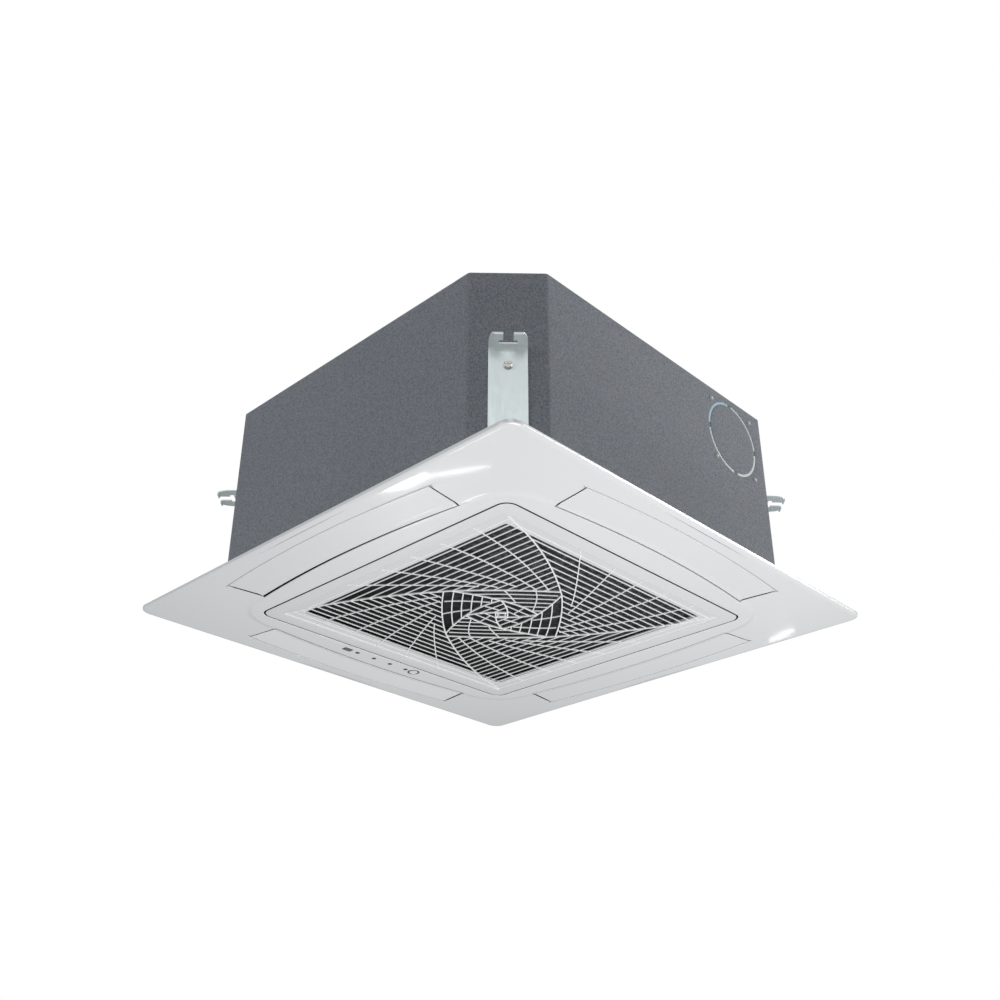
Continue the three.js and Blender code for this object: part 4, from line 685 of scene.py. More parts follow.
# Start, control or middle, and end of the louvre's curves in the front quarter. The curves of the
# first group are parabolas with a control point, the ribs pass through their middle point.
louvreCurves = {
    "outerArc": [(205.5, -204), (181, -103), (103, 7.2)],
    "diamondSide": [(103, 7.2), (58.1, 62), (1.2, 108.6)],
    "innerArc": [(103, 7.2), (69.5, 24), (36, 33)],
    "squareSide": [(36, 33), (0, 43), (-33.5, 36.3)],
    "spiral": [(33, -35.5), (25, -12), (0.5, 11)],
    "slatSide": [(103, 7.2), (58.1, 62), (3, 106.5)],
    "outerRibs": [
        [(155, -209.9), (138.6, -119), (101, -16)], [(97.2, -209.9), (101, -125), (90, -28)],
        [(44.5, -209.9), (66, -123), (78, -53)], [(-10.5, -209.9), (33, -126), (59, -69)],
        [(-79, -209.9), (-2, -136), (43, -88)]],
    "firstInnerRib": [(58, -55.5), (53.2, -41.2), (43, -18.7)],
    "secondInnerRib": [(85.3, -23.7), (69, -4.7), (41.4, 18)],
    "straightRib": [(36.6, 4.1), (13.6, 8.8)],
}


# Painted shade on the outer edge of the grille, in its gap to the panel: the distance is taken from a core
# square, so it follows the corners.
def grilleGapShade(made):
    g = grille
    larger, smaller, height = made.squarePlace()
    core = g["half"] - g["radius"]
    across = made.either(larger - core, 0.0)
    along = made.either(smaller - core, 0.0)
    reach = made.maths("POWER", across * across + along * along, 0.5)
    return made.over(height, g["face"] + 0.3, 0.1) * made.over(reach, g["radius"] - 0.5, 0.3)


# Plastic of the grille: its frame, its paler louvres, and the ledge that lies deeper under them, painted
# darker as its shade.
def louvrePlastic(name, frameColour, barColour, ledgeShadeColour, cloudColour):
    g = grille
    made = Finish(name)
    larger, height = made.squarePlace()[::2]
    inside = made.under(larger, g["ledgeHalf"] + 0.2, 0.6)
    # The ledge's floor is painted darker as its shade.
    deep = made.over(height, g["ledgeFloor"] - 0.18, 0.08)
    inner = made.mix(deep, barColour, ledgeShadeColour)
    cloud = made.between(made.noise(3.1, 3.0), 0.3, 0.7)
    base = made.mix(inside, frameColour, inner)
    base = made.mix(cloud * 0.05, base, cloudColour)
    # Painted shade in the gap round the grille's outer edge.
    base = made.mix(grilleGapShade(made), base, gapShadeBlack)
    made.set(Base_Color=base, Roughness=0.34 + (made.noise(900.0, 1.0) - 0.5) * 0.06,
             Coat_Weight=0.15, Coat_Roughness=0.04)
    return made.material


def buildGrilleFrame():
    g = grille
    opening = roundContour(roundCorner(g["openHalf"], g["openRadius"], g["openMiddle"]))
    ledge = roundContour(roundCorner(g["ledgeHalf"], g["ledgeRadius"], g["ledgeMiddle"]))
    outer = roundContour(roundCorner(g["half"], g["radius"], g["outerMiddle"]))
    face, floor = g["face"], g["ledgeFloor"]
    rows = [
        (rowBetween(opening, ledge, near=0.0), floor + 0.5),
        (rowBetween(opening, ledge, near=0.2), floor + 0.15),
        (rowBetween(opening, ledge, near=0.6), floor),
        (rowBetween(opening, ledge, share=0.4), floor),
        (rowBetween(opening, ledge, far=1.6), floor),
        (rowBetween(opening, ledge, far=0.8), floor - 0.15),
        (rowBetween(opening, ledge, far=0.35), floor - 0.8),
        (rowBetween(opening, ledge, far=0.0), face + 0.9),
        (rowBetween(ledge, outer, near=0.12), face + 0.4),
        (rowBetween(ledge, outer, near=0.4), face + 0.12),
        (rowBetween(ledge, outer, near=0.9), face),
        (rowBetween(ledge, outer, near=3.2), face),
        (rowBetween(ledge, outer, near=3.5), face + 0.3),
        (rowBetween(ledge, outer, near=4.0), face + 0.3),
        (rowBetween(ledge, outer, near=4.3), face),
        (rowBetween(ledge, outer, share=0.6), face),
        (rowBetween(ledge, outer, far=0.5), face),
        (rowBetween(ledge, outer, far=0.2), face + 0.06),
        (rowBetween(ledge, outer, far=0.06), face + 0.2),
        (rowBetween(ledge, outer, far=0.0), face + 0.4),
    ]
    front = np.concatenate([withHeight(plan, height) for plan, height in rows])
    back = np.concatenate([withHeight(plan, g["back"]) for plan, height in rows])
    quads = gridFaces(len(rows), len(opening), wrap=True)
    return closeSheet(front, back, quads[:, ::-1])


# A bar along a line in plan, its front edge rounded; width and height are in millimetres.
def bar(plan, width, frontHeight, backHeight):
    along = np.gradient(plan, axis=0)
    along /= np.linalg.norm(along, axis=1, keepdims=True)
    across = np.column_stack([-along[:, 1], along[:, 0], np.zeros(len(plan))])
    up = np.tile([0, 0, 1.0], (len(plan), 1))
    line = np.column_stack([plan, np.zeros(len(plan))])
    h, r = width / 2, width * 0.34
    section = np.array([(h, backHeight), (-h, backHeight), (-h, frontHeight + r),
                        (-h + 0.3 * r, frontHeight + 0.3 * r), (-h + r, frontHeight),
                        (h - r, frontHeight), (h - 0.3 * r, frontHeight + 0.3 * r),
                        (h, frontHeight + r)])[::-1]
    return sweep(line, across, up, section)


# A parabola between two points with a control point.
def arc(first, control, last, steps=16):
    t = np.linspace(0, 1, steps + 1)[:, None]
    first, control, last = (np.array(point, float) for point in (first, control, last))
    return first * (1 - t) ** 2 + control * 2 * t * (1 - t) + last * t ** 2


# Parabola through a start, a point near its middle and an end.
def arcThrough(first, middle, last, steps=12):
    first, middle, last = (np.array(point, float) for point in (first, middle, last))
    return arc(first, 2 * middle - 0.5 * (first + last), last, steps)


def turnBack(plan):
    return np.column_stack([plan[:, 1], -plan[:, 0]])


# The piece of a line, at a distance from the centre along a direction, that lies in a closed outline.
def chord(outline, direction, distance):
    direction = np.array(direction, float)
    sideways = np.array([-direction[1], direction[0]])
    heights = outline @ direction - distance
    following = np.roll(heights, -1)
    crossing = np.flatnonzero((heights < 0) != (following < 0))
    share = heights[crossing] / (heights[crossing] - following[crossing])
    points = outline[crossing] + (np.roll(outline, -1, 0)[crossing] - outline[crossing]) * share[:, None]
    offsets = np.sort(points @ sideways)
    return np.array([direction * distance + sideways * offsets[0],
                     direction * distance + sideways * offsets[-1]])


# The longest run of a curve that lies in a closed outline, counting the outline's edges to one side.
def clipped(curve, outline, steps=12):
    ends = np.roll(outline, -1, 0)
    x, y = curve[:, :1], curve[:, 1:]
    spans = (outline[:, 1] > y) != (ends[:, 1] > y)
    rise = np.where(np.abs(ends[:, 1] - outline[:, 1]) < 1e-9, 1e-9, ends[:, 1] - outline[:, 1])
    right = x < outline[:, 0] + (ends[:, 0] - outline[:, 0]) * (y - outline[:, 1]) / rise
    inside = np.flatnonzero((spans & right).sum(1) % 2)
    runs = np.split(inside, np.flatnonzero(np.diff(inside) > 1) + 1)
    longest = max(runs, key=len)
    return curve[np.linspace(longest[0], longest[-1], steps).astype(int)]


# One quarter of the pattern, turned four times. Outside the diamond the slats run along the sides,
# inside it they follow its bowed sides, and in the middle square they run along the sides again.
def buildLouvres():
    g = grille
    curves = louvreCurves
    outerArc = arc(*curves["outerArc"], 24)
    diamondSide = arc(*curves["diamondSide"], 24)
    innerArc = arc(*curves["innerArc"], 14)
    squareSide = arc(*curves["squareSide"], 14)
    spiral = arc(*curves["spiral"], 18)
    nearSide = turnBack(diamondSide)
    outerSector = np.concatenate([outerArc, nearSide[::-1], turnBack(outerArc)[::-1]])
    diamondSector = np.concatenate([innerArc, turnBack(squareSide)[::-1], turnBack(innerArc)[::-1], nearSide])
    squareSector = np.concatenate([turnBack(turnBack(squareSide))[::-1], spiral[:14],
                                   turnBack(spiral)[::-1]])
    quarter = []

    def slat(plan):
        quarter.append(bar(plan, g["slatWidth"], g["slatFront"], g["slatBack"]))

    def rib(plan):
        quarter.append(bar(plan, g["ribWidth"], g["ribFront"], g["ribBack"]))

    def crossRib(plan):
        quarter.append(bar(plan, g["crossWidth"], g["crossFront"], g["slatBack"]))

    for k in range(g["slats"]):
        ends = chord(outerSector, (0, -1), g["firstSlat"] + k * g["slatPitch"])
        slat(np.linspace(ends[0], ends[1], 3))
    slat(np.array(g["lastSlat"]))
    across = turnBack(arc(*curves["slatSide"], 500))
    for k in range(1, g["innerSlats"] + 1):
        inwards = np.array([-1, 1]) * math.sqrt(0.5) * g["innerPitch"] * k
        slat(clipped(across + inwards, diamondSector))
    for distance in g["squareSlats"]:
        ends = chord(squareSector, (0, -1), distance)
        slat(np.linspace(ends[0], ends[1], 3))

    rib(outerArc)
    rib(diamondSide)
    rib(np.concatenate([innerArc, squareSide[1:]]))
    rib(spiral)
    for points in curves["outerRibs"]:
        crossRib(arcThrough(*points))
    crossRib(arcThrough(*curves["firstInnerRib"], 6))
    crossRib(arcThrough(*curves["secondInnerRib"], 8))
    crossRib(np.linspace(*curves["straightRib"], 3))
    angle = np.linspace(0, 0.5 * math.pi, 9)
    crossRib(np.column_stack([np.cos(angle), np.sin(angle)]) * g["middleRing"])
    crossRib(np.linspace((0, g["middleRing"]), (0, g["linkReach"]), 3))
    return [spun(part, k) for k in range(4) for part in quarter]


materials["louvre_white"] = louvrePlastic("louvreWhite", (0.72, 0.725, 0.73), (0.93, 0.935, 0.94),
                                          (0.70, 0.705, 0.71), (0.55, 0.55, 0.56))
addPiece("intakeGrille", [buildGrilleFrame()] + buildLouvres(), "grille_door",
         materials["louvre_white"], ["grille"], 40)
print("grille built")


# The felt jacket round the casing, with the round knock-out on the right side.
jacket = {
    "half": 295.8, "leg": 67.2, "thickness": 4.0, "fold": 6.0, "bottom": 8.0, "top": 284.0,
    "foldSteps": 6, "cutSteps": 4, "easing": 0.9, "knockoutAlong": 154.0, "knockoutHeight": 218.0,
    "knockoutRadius": 53.8, "slotWidth": 4.0, "slotSink": 0.6, "webWidth": 7.0, "patchHalf": 65.0,
    "sheetDepth": 3.6, "sheetBelow": 0.5, "patchStep": 2.5,
    "hatchFrom": 147.4, "hatchTo": 210.2, "hatchLow": 120.6, "hatchHigh": 217.4,
    "blueHeight": 205.0, "blueAlong": 158.0, "rivetAlong": 45.5, "rivetUp": 46.5,
    "rivetDome": [(0, -1.5), (3.4, -1.5), (3.4, 1.2), (3.1, 2.2), (2.3, 3.0), (1.2, 3.4), (0, 3.5)],
}


# The steel of the knock-out, with a painted reflection: bluish in one upper quarter, grey elsewhere.
def knockoutSheet(name, upper, lower):
    made = Finish(name)
    along, height = made.squarePlace()[1:]
    bluishReflection = made.over(height, jacket["blueHeight"], 15.0) * made.under(along, jacket["blueAlong"], 8.0)
    made.set(Base_Color=made.mix(bluishReflection, lower, upper),
             Roughness=0.45 + (made.noise(40.0) - 0.5) * 0.1, Metallic=0.3)
    return made.material


# Outline of the square with cut-off corners, its folds rounded, starting on the front side. Each
# side's stops are the places of its columns along the flat.
def feltOutline(inset, stops):
    j = jacket
    half = j["half"] - inset
    leg = j["leg"] - inset * (2 - math.sqrt(2))
    fold = max(j["fold"] - inset, 0.5)
    back = fold * math.tan(math.pi / 8)
    outline = []
    flatHalf = half - leg
    for k, places in enumerate(stops):
        flat = np.column_stack([places, np.full(len(places), -half)])
        a = np.linspace(0, math.pi / 4, j["foldSteps"])
        bend = np.column_stack([flatHalf - back + fold * np.sin(a), -half + fold * (1 - np.cos(a))])
        mirrored = -bend[::-1, ::-1]
        straight = np.linspace(bend[-1], mirrored[0], j["cutSteps"] + 2)[1:-1]
        side = np.concatenate([flat, bend, straight, mirrored])
        c, s = math.cos(k * math.pi / 2), math.sin(k * math.pi / 2)
        outline.append(side @ np.array([[c, s], [-s, c]]))
    return np.concatenate(outline)


def buildJacket():
    j = jacket
    reach = j["half"] - j["leg"] - j["fold"] * math.tan(math.pi / 8) - 1.5
    along, height, patch = j["knockoutAlong"], j["knockoutHeight"], j["patchHalf"]
    y0, y1, z0, z1 = j["hatchFrom"], j["hatchTo"], j["hatchLow"], j["hatchHigh"]
    bottom, top = j["bottom"], j["top"]
    patchPlaces = np.arange(along - patch, along + patch + 0.1, j["patchStep"])
    patchHeights = np.arange(height - patch, height + patch + 0.1, j["patchStep"])
    plain = np.linspace(-reach, reach, 30)
    rightStops = np.concatenate([np.linspace(-reach, along - patch, 20)[:-1], patchPlaces, [reach]])
    leftStops = np.sort(np.concatenate([plain, [-y0, -y1]]))
    stops = [plain, rightStops, plain, leftStops]
    heights = np.unique(np.concatenate([bottom + np.array([0, 0.15, 0.5, 1.2]), np.linspace(20, 148, 14),
                                        [z0, z1], patchHeights, top - np.array([0.8, 0.3, 0.1, 0])]))
    rows, cols = len(heights), len(feltOutline(0, stops))
    eased = j["easing"] * np.clip(1 - np.minimum(heights - bottom, top - heights) / 1.2, 0, 1) ** 2
    levels = [feltOutline(e, stops) for e in eased]
    front = np.concatenate([withHeight(plan, z) for plan, z in zip(levels, heights)])
    innerPlan = feltOutline(j["thickness"], stops)
    back = np.concatenate([withHeight(innerPlan, z) for z in heights])
    keep = np.ones((rows - 1, cols), bool)

    def window(sideIndex, placeLow, placeHigh, low, high):
        start = sum(len(places) + 2 * j["foldSteps"] + j["cutSteps"] for places in stops[:sideIndex])
        places = stops[sideIndex]
        columns = start + np.flatnonzero((places >= placeLow - 0.01) & (places < placeHigh - 0.01))
        levelsIn = np.flatnonzero((heights >= low - 0.01) & (heights < high - 0.01))
        keep[np.ix_(levelsIn, columns)] = False
        return levelsIn, columns

    window(3, -y1, -y0, z0, z1)
    levelsIn, columns = window(1, along - patch, along + patch, height - patch, height + patch)
    quads = gridFaces(rows, cols, keep, wrap=True)

    # The patch round the knock-out: rings of points on circles that open out to the window's edge.
    left, right = columns[0], columns[-1] + 1
    low, high = levelsIn[0], levelsIn[-1] + 1
    rim = np.concatenate([
        low * cols + np.arange(left, right), np.arange(low, high) * cols + right,
        high * cols + np.arange(right, left, -1), np.arange(high, low, -1) * cols + left])
    rimPoints = front[rim][:, 1:] - [along, height]
    angle = np.arctan2(rimPoints[:, 1], rimPoints[:, 0])
    middleRadius, half = j["knockoutRadius"], j["slotWidth"] / 2
    radii = [0.0, 18.0, 36.0, middleRadius - half - 1.2, middleRadius - half - 0.4, middleRadius - half,
             middleRadius + half, middleRadius + half + 0.4, middleRadius + half + 1.2]
    sink = j["slotSink"]
    recess = [0.0, 0.0, 0.0, 0.0, sink / 4, sink, sink, sink / 4, 0.0]
    slotRing = recess.index(sink)
    n = len(rim)
    circle = np.column_stack([np.cos(angle), np.sin(angle)])
    outside, inside = [], []
    for radius, sunk in zip(radii, recess):
        plan = circle * radius + [along, height]
        outside.append(np.column_stack([np.full(n, j["half"] - sunk), plan]))
        inside.append(np.column_stack([np.full(n, j["half"] - j["thickness"]), plan]))
    index = len(front) + np.arange(len(radii) * n).reshape(len(radii), n)
    index[0] = index[0, 0]
    index = np.concatenate([index, rim[None]])
    after = np.roll(index, -1, axis=1)
    cells = np.stack([index[:-1], index[1:], after[1:], after[:-1]], -1)
    toWeb = np.abs((angle + math.pi / 4) % (math.pi / 2) - math.pi / 4)
    middle = toWeb * middleRadius < j["webWidth"] / 2
    keepCell = np.ones(cells.shape[:2], bool)
    keepCell[slotRing] = middle & np.roll(middle, -1)
    patchQuads = cells[keepCell]
    front = np.concatenate([front] + outside)
    back = np.concatenate([back] + inside)
    return closeSheet(front, back, np.concatenate([quads, patchQuads]))


addPiece("feltJacket", [buildJacket()], "unit", materials["felt"], ["insulation_jacket"], 50)


# Small domed rivets round the knock-out.
def buildRivets():
    j = jacket
    dome = alongX(turned(j["rivetDome"], 24))
    return [shifted(dome, j["half"] - 0.3, j["knockoutAlong"] + a, j["knockoutHeight"] + b)
            for a in (-j["rivetAlong"], j["rivetAlong"]) for b in (-j["rivetUp"], j["rivetUp"])]


rivetSteel = sheetMetal("rivetSteel", (0.50, 0.51, 0.50), 0.5, 0.2, 0.2)
addPiece("knockoutRivets", buildRivets(), "unit", rivetSteel)


# The steel seen in the ring-shaped slot: four arcs of sheet between the slot's webs.
def buildSlotSheet():
    j = jacket
    web = 0.5 * j["webWidth"] / j["knockoutRadius"] + 0.004
    half = j["slotWidth"] / 2 - 0.15
    deep, high = -j["sheetDepth"], -j["sheetBelow"]
    section = np.array([(-half, deep), (half, deep), (half, high), (-half, high)])
    steps = 24
    arcs = []
    for k in range(4):
        a = np.linspace(web, 0.5 * math.pi - web, steps) + k * math.pi / 2
        out = np.column_stack([np.zeros(steps), np.cos(a), np.sin(a)])
        line = out * j["knockoutRadius"] + [j["half"], j["knockoutAlong"], j["knockoutHeight"]]
        arcs.append(sweep(line, out, np.tile([1.0, 0, 0], (steps, 1)), section))
    return arcs


knockoutSteel = knockoutSheet("knockoutSteel", (0.30, 0.42, 0.50), (0.40, 0.44, 0.43))
addPiece("knockoutSlotSheet", buildSlotSheet(), "unit", knockoutSteel)
print("jacket built")


# A hanger bracket on each cut-off corner.
hanger = {
    "inside": 371.1, "gauge": 1.7, "half": 23.0, "foot": 14.0, "top": 172.0, "tip": 404.1,
    "bend": 3.6, "lip": 167.5, "slotHalf": 6.0, "slotStart": 382.1, "crossHalf": 10.5,
    "crossLength": 6.0, "cornerWidth": 8.0, "cornerDepth": 23.0, "tabStart": 377.5, "lipBend": 2.0,
}


# The sheet's middle line goes up the strip, round the bend, out along the tab and down the lip.
# Its two faces are half a gauge to either side.
def buildHanger():
    h = hanger
    g = h["gauge"] / 2
    x0, zTop, x1 = h["inside"] + g, h["top"] - g, h["tip"] - g
    r, small = h["bend"], h["lipBend"]
    a = np.linspace(0, math.pi / 2, 8)
    upright = np.column_stack([np.full(8, x0), np.linspace(h["foot"], zTop - r, 8)])
    bend = np.column_stack([x0 + r * (1 - np.cos(a)), zTop - r + r * np.sin(a)])[1:]
    tabStops = np.concatenate([[h["tabStart"], h["slotStart"], h["slotStart"] + h["crossLength"]],
                               np.linspace(h["slotStart"] + h["crossLength"] + 1, x1 - small - 0.2, 10)])
    tab = np.column_stack([tabStops, np.full(len(tabStops), zTop)])
    fold = np.column_stack([x1 - small + small * np.sin(a), zTop - small + small * np.cos(a)])
    lip = np.column_stack([np.full(4, x1), np.linspace(zTop - small, h["lip"], 5)[1:]])
    line = np.concatenate([upright, bend, tab, fold, lip])
    along = np.gradient(line, axis=0)
    along /= np.linalg.norm(along, axis=1, keepdims=True)
    outward = np.column_stack([-along[:, 1], along[:, 0]])
    over = np.clip((line[:, 0] - h["tip"]) / h["cornerDepth"] + 1, 0, 1)
    half = h["half"] - h["cornerWidth"] * (1 - np.sqrt(1 - over ** 2))
    base = np.array([h["slotHalf"], h["crossHalf"]])
    widths = np.column_stack([-half, -half + 1.5, np.tile(-base[::-1], (len(line), 1)), np.zeros(len(line)),
                              np.tile(base, (len(line), 1)), half - 1.5, half])
    faces = []
    for sign in (1, -1):
        points = line + outward * g * sign
        grid = np.stack([np.broadcast_to(points[:, :1], widths.shape), widths,
                         np.broadcast_to(points[:, 1:], widths.shape)], -1)
        faces.append(grid.reshape(-1, 3))
    rows, cols = widths.shape
    keep = np.ones((rows - 1, cols - 1), bool)
    start = np.flatnonzero(np.isclose(line[:, 0], h["slotStart"]))[0]
    keep[start:, 3:5] = False
    keep[start:start + 1, 2:6] = False
    return closeSheet(faces[1], faces[0], gridFaces(rows, cols, keep))


for index, corner in enumerate(cornerNames):
    addPiece("hanger" + corner.title().replace("_", ""), [spun(buildHanger(), index - 0.5)], "unit",
             materials["zinc"], ["hanger_" + corner], 35)
print("hangers built")


# The row of window, lamps and button on the left side of the panel.
strip = {
    "middle": -248.0, "face": -7.5, "windowAlong": -66.0, "windowLength": 15.0, "windowWidth": 9.6,
    "lampSpacing": 31.5, "lampRadius": 3.4, "buttonAlong": 63.5, "buttonRadius": 6.4, "proud": 0.4,
    "ringWidth": 2.8, "capTop": -3.5, "ringTop": -6.7, "seat": -6.6, "paneHalfWidth": 2.3,
    "paneHalfLength": 5.2,
}


def buildButton():
    s = strip
    face, radius = s["face"] - s["proud"], s["buttonRadius"]
    cap = turned([(0, s["capTop"]), (radius, s["capTop"]), (radius, face + 0.35), (radius - 0.35, face),
                  (radius - 1.4, face), (radius - 1.9, face + 0.2), (0, face + 0.25)], 48)
    return [shifted((cap[0], cap[1][:, ::-1]), s["middle"], s["buttonAlong"], 0)]


addPiece("resetButton", buildButton(), "button",
         plastic("buttonWhite", (0.80, 0.805, 0.812), 0.3, coat=0.3), ["reset_button"], 35)


# The dark ring round the button: painted shade of the groove round it.
def buildButtonGrooveShade():
    s = strip
    inner, outer, face = s["buttonRadius"] + 0.1, s["buttonRadius"] + s["ringWidth"], s["face"] - 0.05
    ring = turned([(inner, s["ringTop"]), (outer, s["ringTop"]), (outer, face), (inner, face)], 48, True)
    return [shifted((ring[0], ring[1][:, ::-1]), s["middle"], s["buttonAlong"], 0)]


addPiece("buttonGrooveShade", buildButtonGrooveShade(), "unit", blackAndGrooveShade)


# A low dome over each lamp.
def buildLamps():
    s = strip
    radius, face = s["lampRadius"], s["face"]
    dome = turned([(0, s["seat"]), (radius, s["seat"]), (radius, face - 0.04),
                   (radius - 0.3, face - 0.16), (0, face - 0.24)], 32)
    return [shifted((dome[0], dome[1][:, ::-1]), s["middle"], s["lampSpacing"] * k, 0)
            for k in (-1.5, -0.5, 0.5, 1.5)]


addPiece("indicatorLamps", buildLamps(), "unit", blackAndGrooveShade, ["indicator_lens"], 35)


# Grey pane in a dark border of painted shade for its recess, both set by the distance from the window's
# middle lines.
def receiverFinish():
    s = strip
    made = Finish("receiverPane")
    larger, smaller = made.squarePlace()[:2]
    across = made.maths("ABSOLUTE", larger + s["middle"])
    along = made.maths("ABSOLUTE", smaller + s["windowAlong"])
    recessShade = made.either(made.over(across, s["paneHalfWidth"], 0.3),
                         made.over(along, s["paneHalfLength"], 0.3))
    cloud = made.noise(300.0)
    pane = made.mix(cloud, (0.10, 0.11, 0.12), (0.17, 0.18, 0.19))
    made.set(Base_Color=made.mix(recessShade, pane, (0.02, 0.02, 0.022)), Roughness=0.25 + cloud * 0.05)
    return made.material


def buildReceiver():
    s = strip
    wide, long = s["windowWidth"] / 2, s["windowLength"] / 2
    return [roundedBlock(s["middle"] - wide, s["middle"] + wide, s["windowAlong"] - long,
                         s["windowAlong"] + long, s["face"] - 0.14, s["seat"], 1.0, 0.1)]


addPiece("receiverPane", buildReceiver(), "unit", receiverFinish(), ["receiver_window"], 35)
print("strip built")


slotOfNode = {entry["node"]: entry["material_slot"] for entry in frame["record"]["subparts"]}
for nodeName, node in frame["nodes"].items():
    chosen = materials[slotOfNode[nodeName]]
    if nodeName == "fan_motor" or nodeName.startswith("vane_motor"):
        chosen = blackAndGrooveShade
    if nodeName == "side_casing":
        chosen = knockoutSteel
    if nodeName == "top_plate":
        chosen = topSheet
    node.data.materials.clear()
    node.data.materials.append(chosen)
print("materials set on", len(frame["nodes"]), "nodes")


# Places in metres, power in watts. The soft boxes left, right and below light the plastic and the
# felt, lightMetal shows only in gloss, and lightCove only in the gloss of the cove at the near corner.
lights = {
    "lightBelow": {"place": (0.46, -0.02, -1.14), "target": (0.1, 0, 0), "size": (0.8, 0.8), "power": 10.3},
    "lightLeft": {"place": (-0.6, -3.1, 0.68), "target": (0, 0, 0.1), "size": (1.3, 1.3), "power": 22,
                  "colour": (0.95, 0.98, 1.0)},
    "lightRight": {"place": (2.2, 2.0, 0.75), "target": (0, 0, 0.1), "size": (1.4, 1.4), "power": 43,
                   "colour": (0.99, 0.99, 0.985)},
    "lightMetal": {"place": (2.05, -2.0, 1.0), "target": (0, 0, 0.15), "size": (1.6, 1.4), "power": 21,
                   "colour": (0.93, 0.99, 1.0), "diffuse": False},
    "lightAbove": {"place": (0.22, -0.22, 1.6), "target": (0.25, -0.25, 0), "size": (0.4, 0.4), "power": 9,
                   "glossy": False},
    "lightCove": {"place": (-0.60, 0.31, -1.0), "target": (0.212, -0.256, 0), "size": (0.2, 0.07),
                  "power": 0.3, "diffuse": False},
}
# The background that the camera sees and the one that lights: colour and strength.
surroundings = {"seen": ((1, 1, 1), 1.0), "around": ((0.97, 0.985, 1.0), 0.39)}


def areaLight(name, place, target, size, power, colour=(1.0, 1.0, 1.0), diffuse=True, glossy=True,
              shape="RECTANGLE"):
    light = bpy.data.lights.new(name, "AREA")
    light.shape = shape
    light.size, light.size_y = size
    light.energy = power
    light.color = colour
    lamp = bpy.data.objects.new(name, light)
    bpy.context.scene.collection.objects.link(lamp)
    lamp.location = place
    lamp.rotation_euler = (Vector(target) - Vector(place)).to_track_quat("-Z", "Y").to_euler()
    lamp.visible_camera = False
    lamp.visible_diffuse = diffuse
    lamp.visible_glossy = glossy
    return lamp


# The camera sees a white background, and everything else is lit by a dimmer one.
def setWorld():
    world = bpy.data.worlds.new("studioWhite")
    bpy.context.scene.world = world
    world.use_nodes = True
    tree = world.node_tree
    tree.nodes.clear()
    choose = tree.nodes.new("ShaderNodeMixShader")
    lightPath = tree.nodes.new("ShaderNodeLightPath")
    output = tree.nodes.new("ShaderNodeOutputWorld")
    tree.links.new(lightPath.outputs["Is Camera Ray"], choose.inputs[0])
    for index, part in ((1, "around"), (2, "seen")):
        colour, strength = surroundings[part]
        background = tree.nodes.new("ShaderNodeBackground")
        background.inputs["Color"].default_value = (*colour, 1)
        background.inputs["Strength"].default_value = strength
        tree.links.new(background.outputs[0], choose.inputs[index])
    tree.links.new(choose.outputs[0], output.inputs[0])


setWorld()
for lightName, settings in lights.items():
    areaLight(lightName, **settings)
print("light set")


# Where the photograph was taken from: angles in radians, distance in metres, pan and tilt as shares
# of the distance, and the lens in millimetres on a 36 mm sensor.
camera = {
    "azimuth": 0.7672, "elevation": -0.4081, "distance": 1.64572, "pan": -0.0016, "tilt": 0.0926,
    "roll": 0.0028, "lens": 43.11, "sensor": 36, "nearest": 0.05, "farthest": 20,
}


# The direction to the right of a line of sight, level with the floor.
def levelSide(sight):
    side = np.cross(sight, [0, 0, 1.0])
    return side / np.linalg.norm(side)


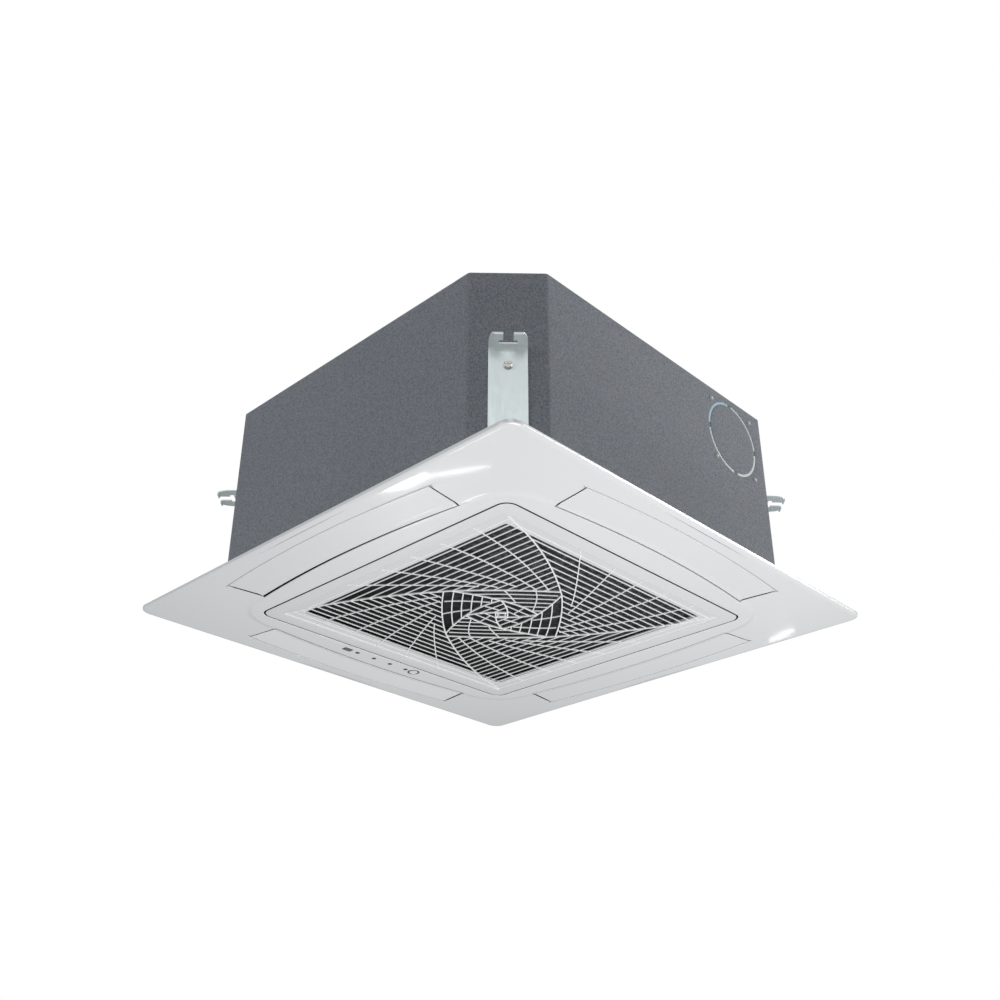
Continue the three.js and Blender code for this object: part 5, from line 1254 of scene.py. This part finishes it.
# Places the camera, aims it beside the origin by pan and tilt, rolls it, and gives its place.
def setCamera():
    c = camera
    forward = np.array([-math.sin(c["azimuth"]) * math.cos(c["elevation"]),
                        math.cos(c["azimuth"]) * math.cos(c["elevation"]), -math.sin(c["elevation"])])
    place = -forward * c["distance"]
    sideways = levelSide(forward)
    look = forward + sideways * c["pan"] + np.cross(sideways, forward) * c["tilt"]
    look /= np.linalg.norm(look)
    levelRight = levelSide(look)
    levelUp = np.cross(levelRight, look)
    rightAxis = levelRight * math.cos(c["roll"]) + levelUp * math.sin(c["roll"])
    upAxis = levelUp * math.cos(c["roll"]) - levelRight * math.sin(c["roll"])
    lens = bpy.data.cameras.new("photoCamera")
    lens.lens = c["lens"]
    lens.sensor_width = c["sensor"]
    lens.clip_start = c["nearest"]
    lens.clip_end = c["farthest"]
    photoCamera = bpy.data.objects.new("photoCamera", lens)
    bpy.context.scene.collection.objects.link(photoCamera)
    photoCamera.matrix_world = Matrix([[rightAxis[i], upAxis[i], -look[i], place[i]] for i in range(3)]
                                      + [[0, 0, 0, 1]])
    bpy.context.scene.camera = photoCamera
    return place


eye = setCamera()
bpy.context.scene.view_settings.view_transform = "Standard"
print("camera set")


# Small soft boxes that only the gloss shows. Each is given by the patch of the panel on which its
# reflection lies: from the camera's mirror image in the panel, lines through the patch meet the soft
# box's level, where everything is larger by the ratio of the two heights.
reflections = {
    "level": -1000.0,
    "patches": [
        {"x": 178, "y": -341, "along": 66, "across": 30, "turn": 9, "strength": 7.0},
        {"x": 233, "y": -317, "along": 88, "across": 9, "turn": 25, "strength": 6.0},
        {"x": 236, "y": 327, "along": 56, "across": 17, "turn": -20, "strength": 4.0},
    ],
}


def buildReflections():
    face = panel["rimFace"]
    image = eye / mm * [1, 1, -1] + [0, 0, 2 * face]
    ratio = (reflections["level"] - image[2]) / (face - image[2])
    for number, patch in enumerate(reflections["patches"]):
        place = image + (np.array([patch["x"], patch["y"], face]) - image) * ratio
        along, across = patch["along"] * ratio * mm, patch["across"] * ratio * mm
        power = patch["strength"] * math.pi * along * across
        lamp = areaLight(f"gloss{number}", tuple(place * mm), (0, 0, 0), (along, across), power,
                         diffuse=False, shape="ELLIPSE")
        lamp.rotation_euler = (math.pi, 0, math.radians(patch["turn"]))


buildReflections()
print("reflections set")
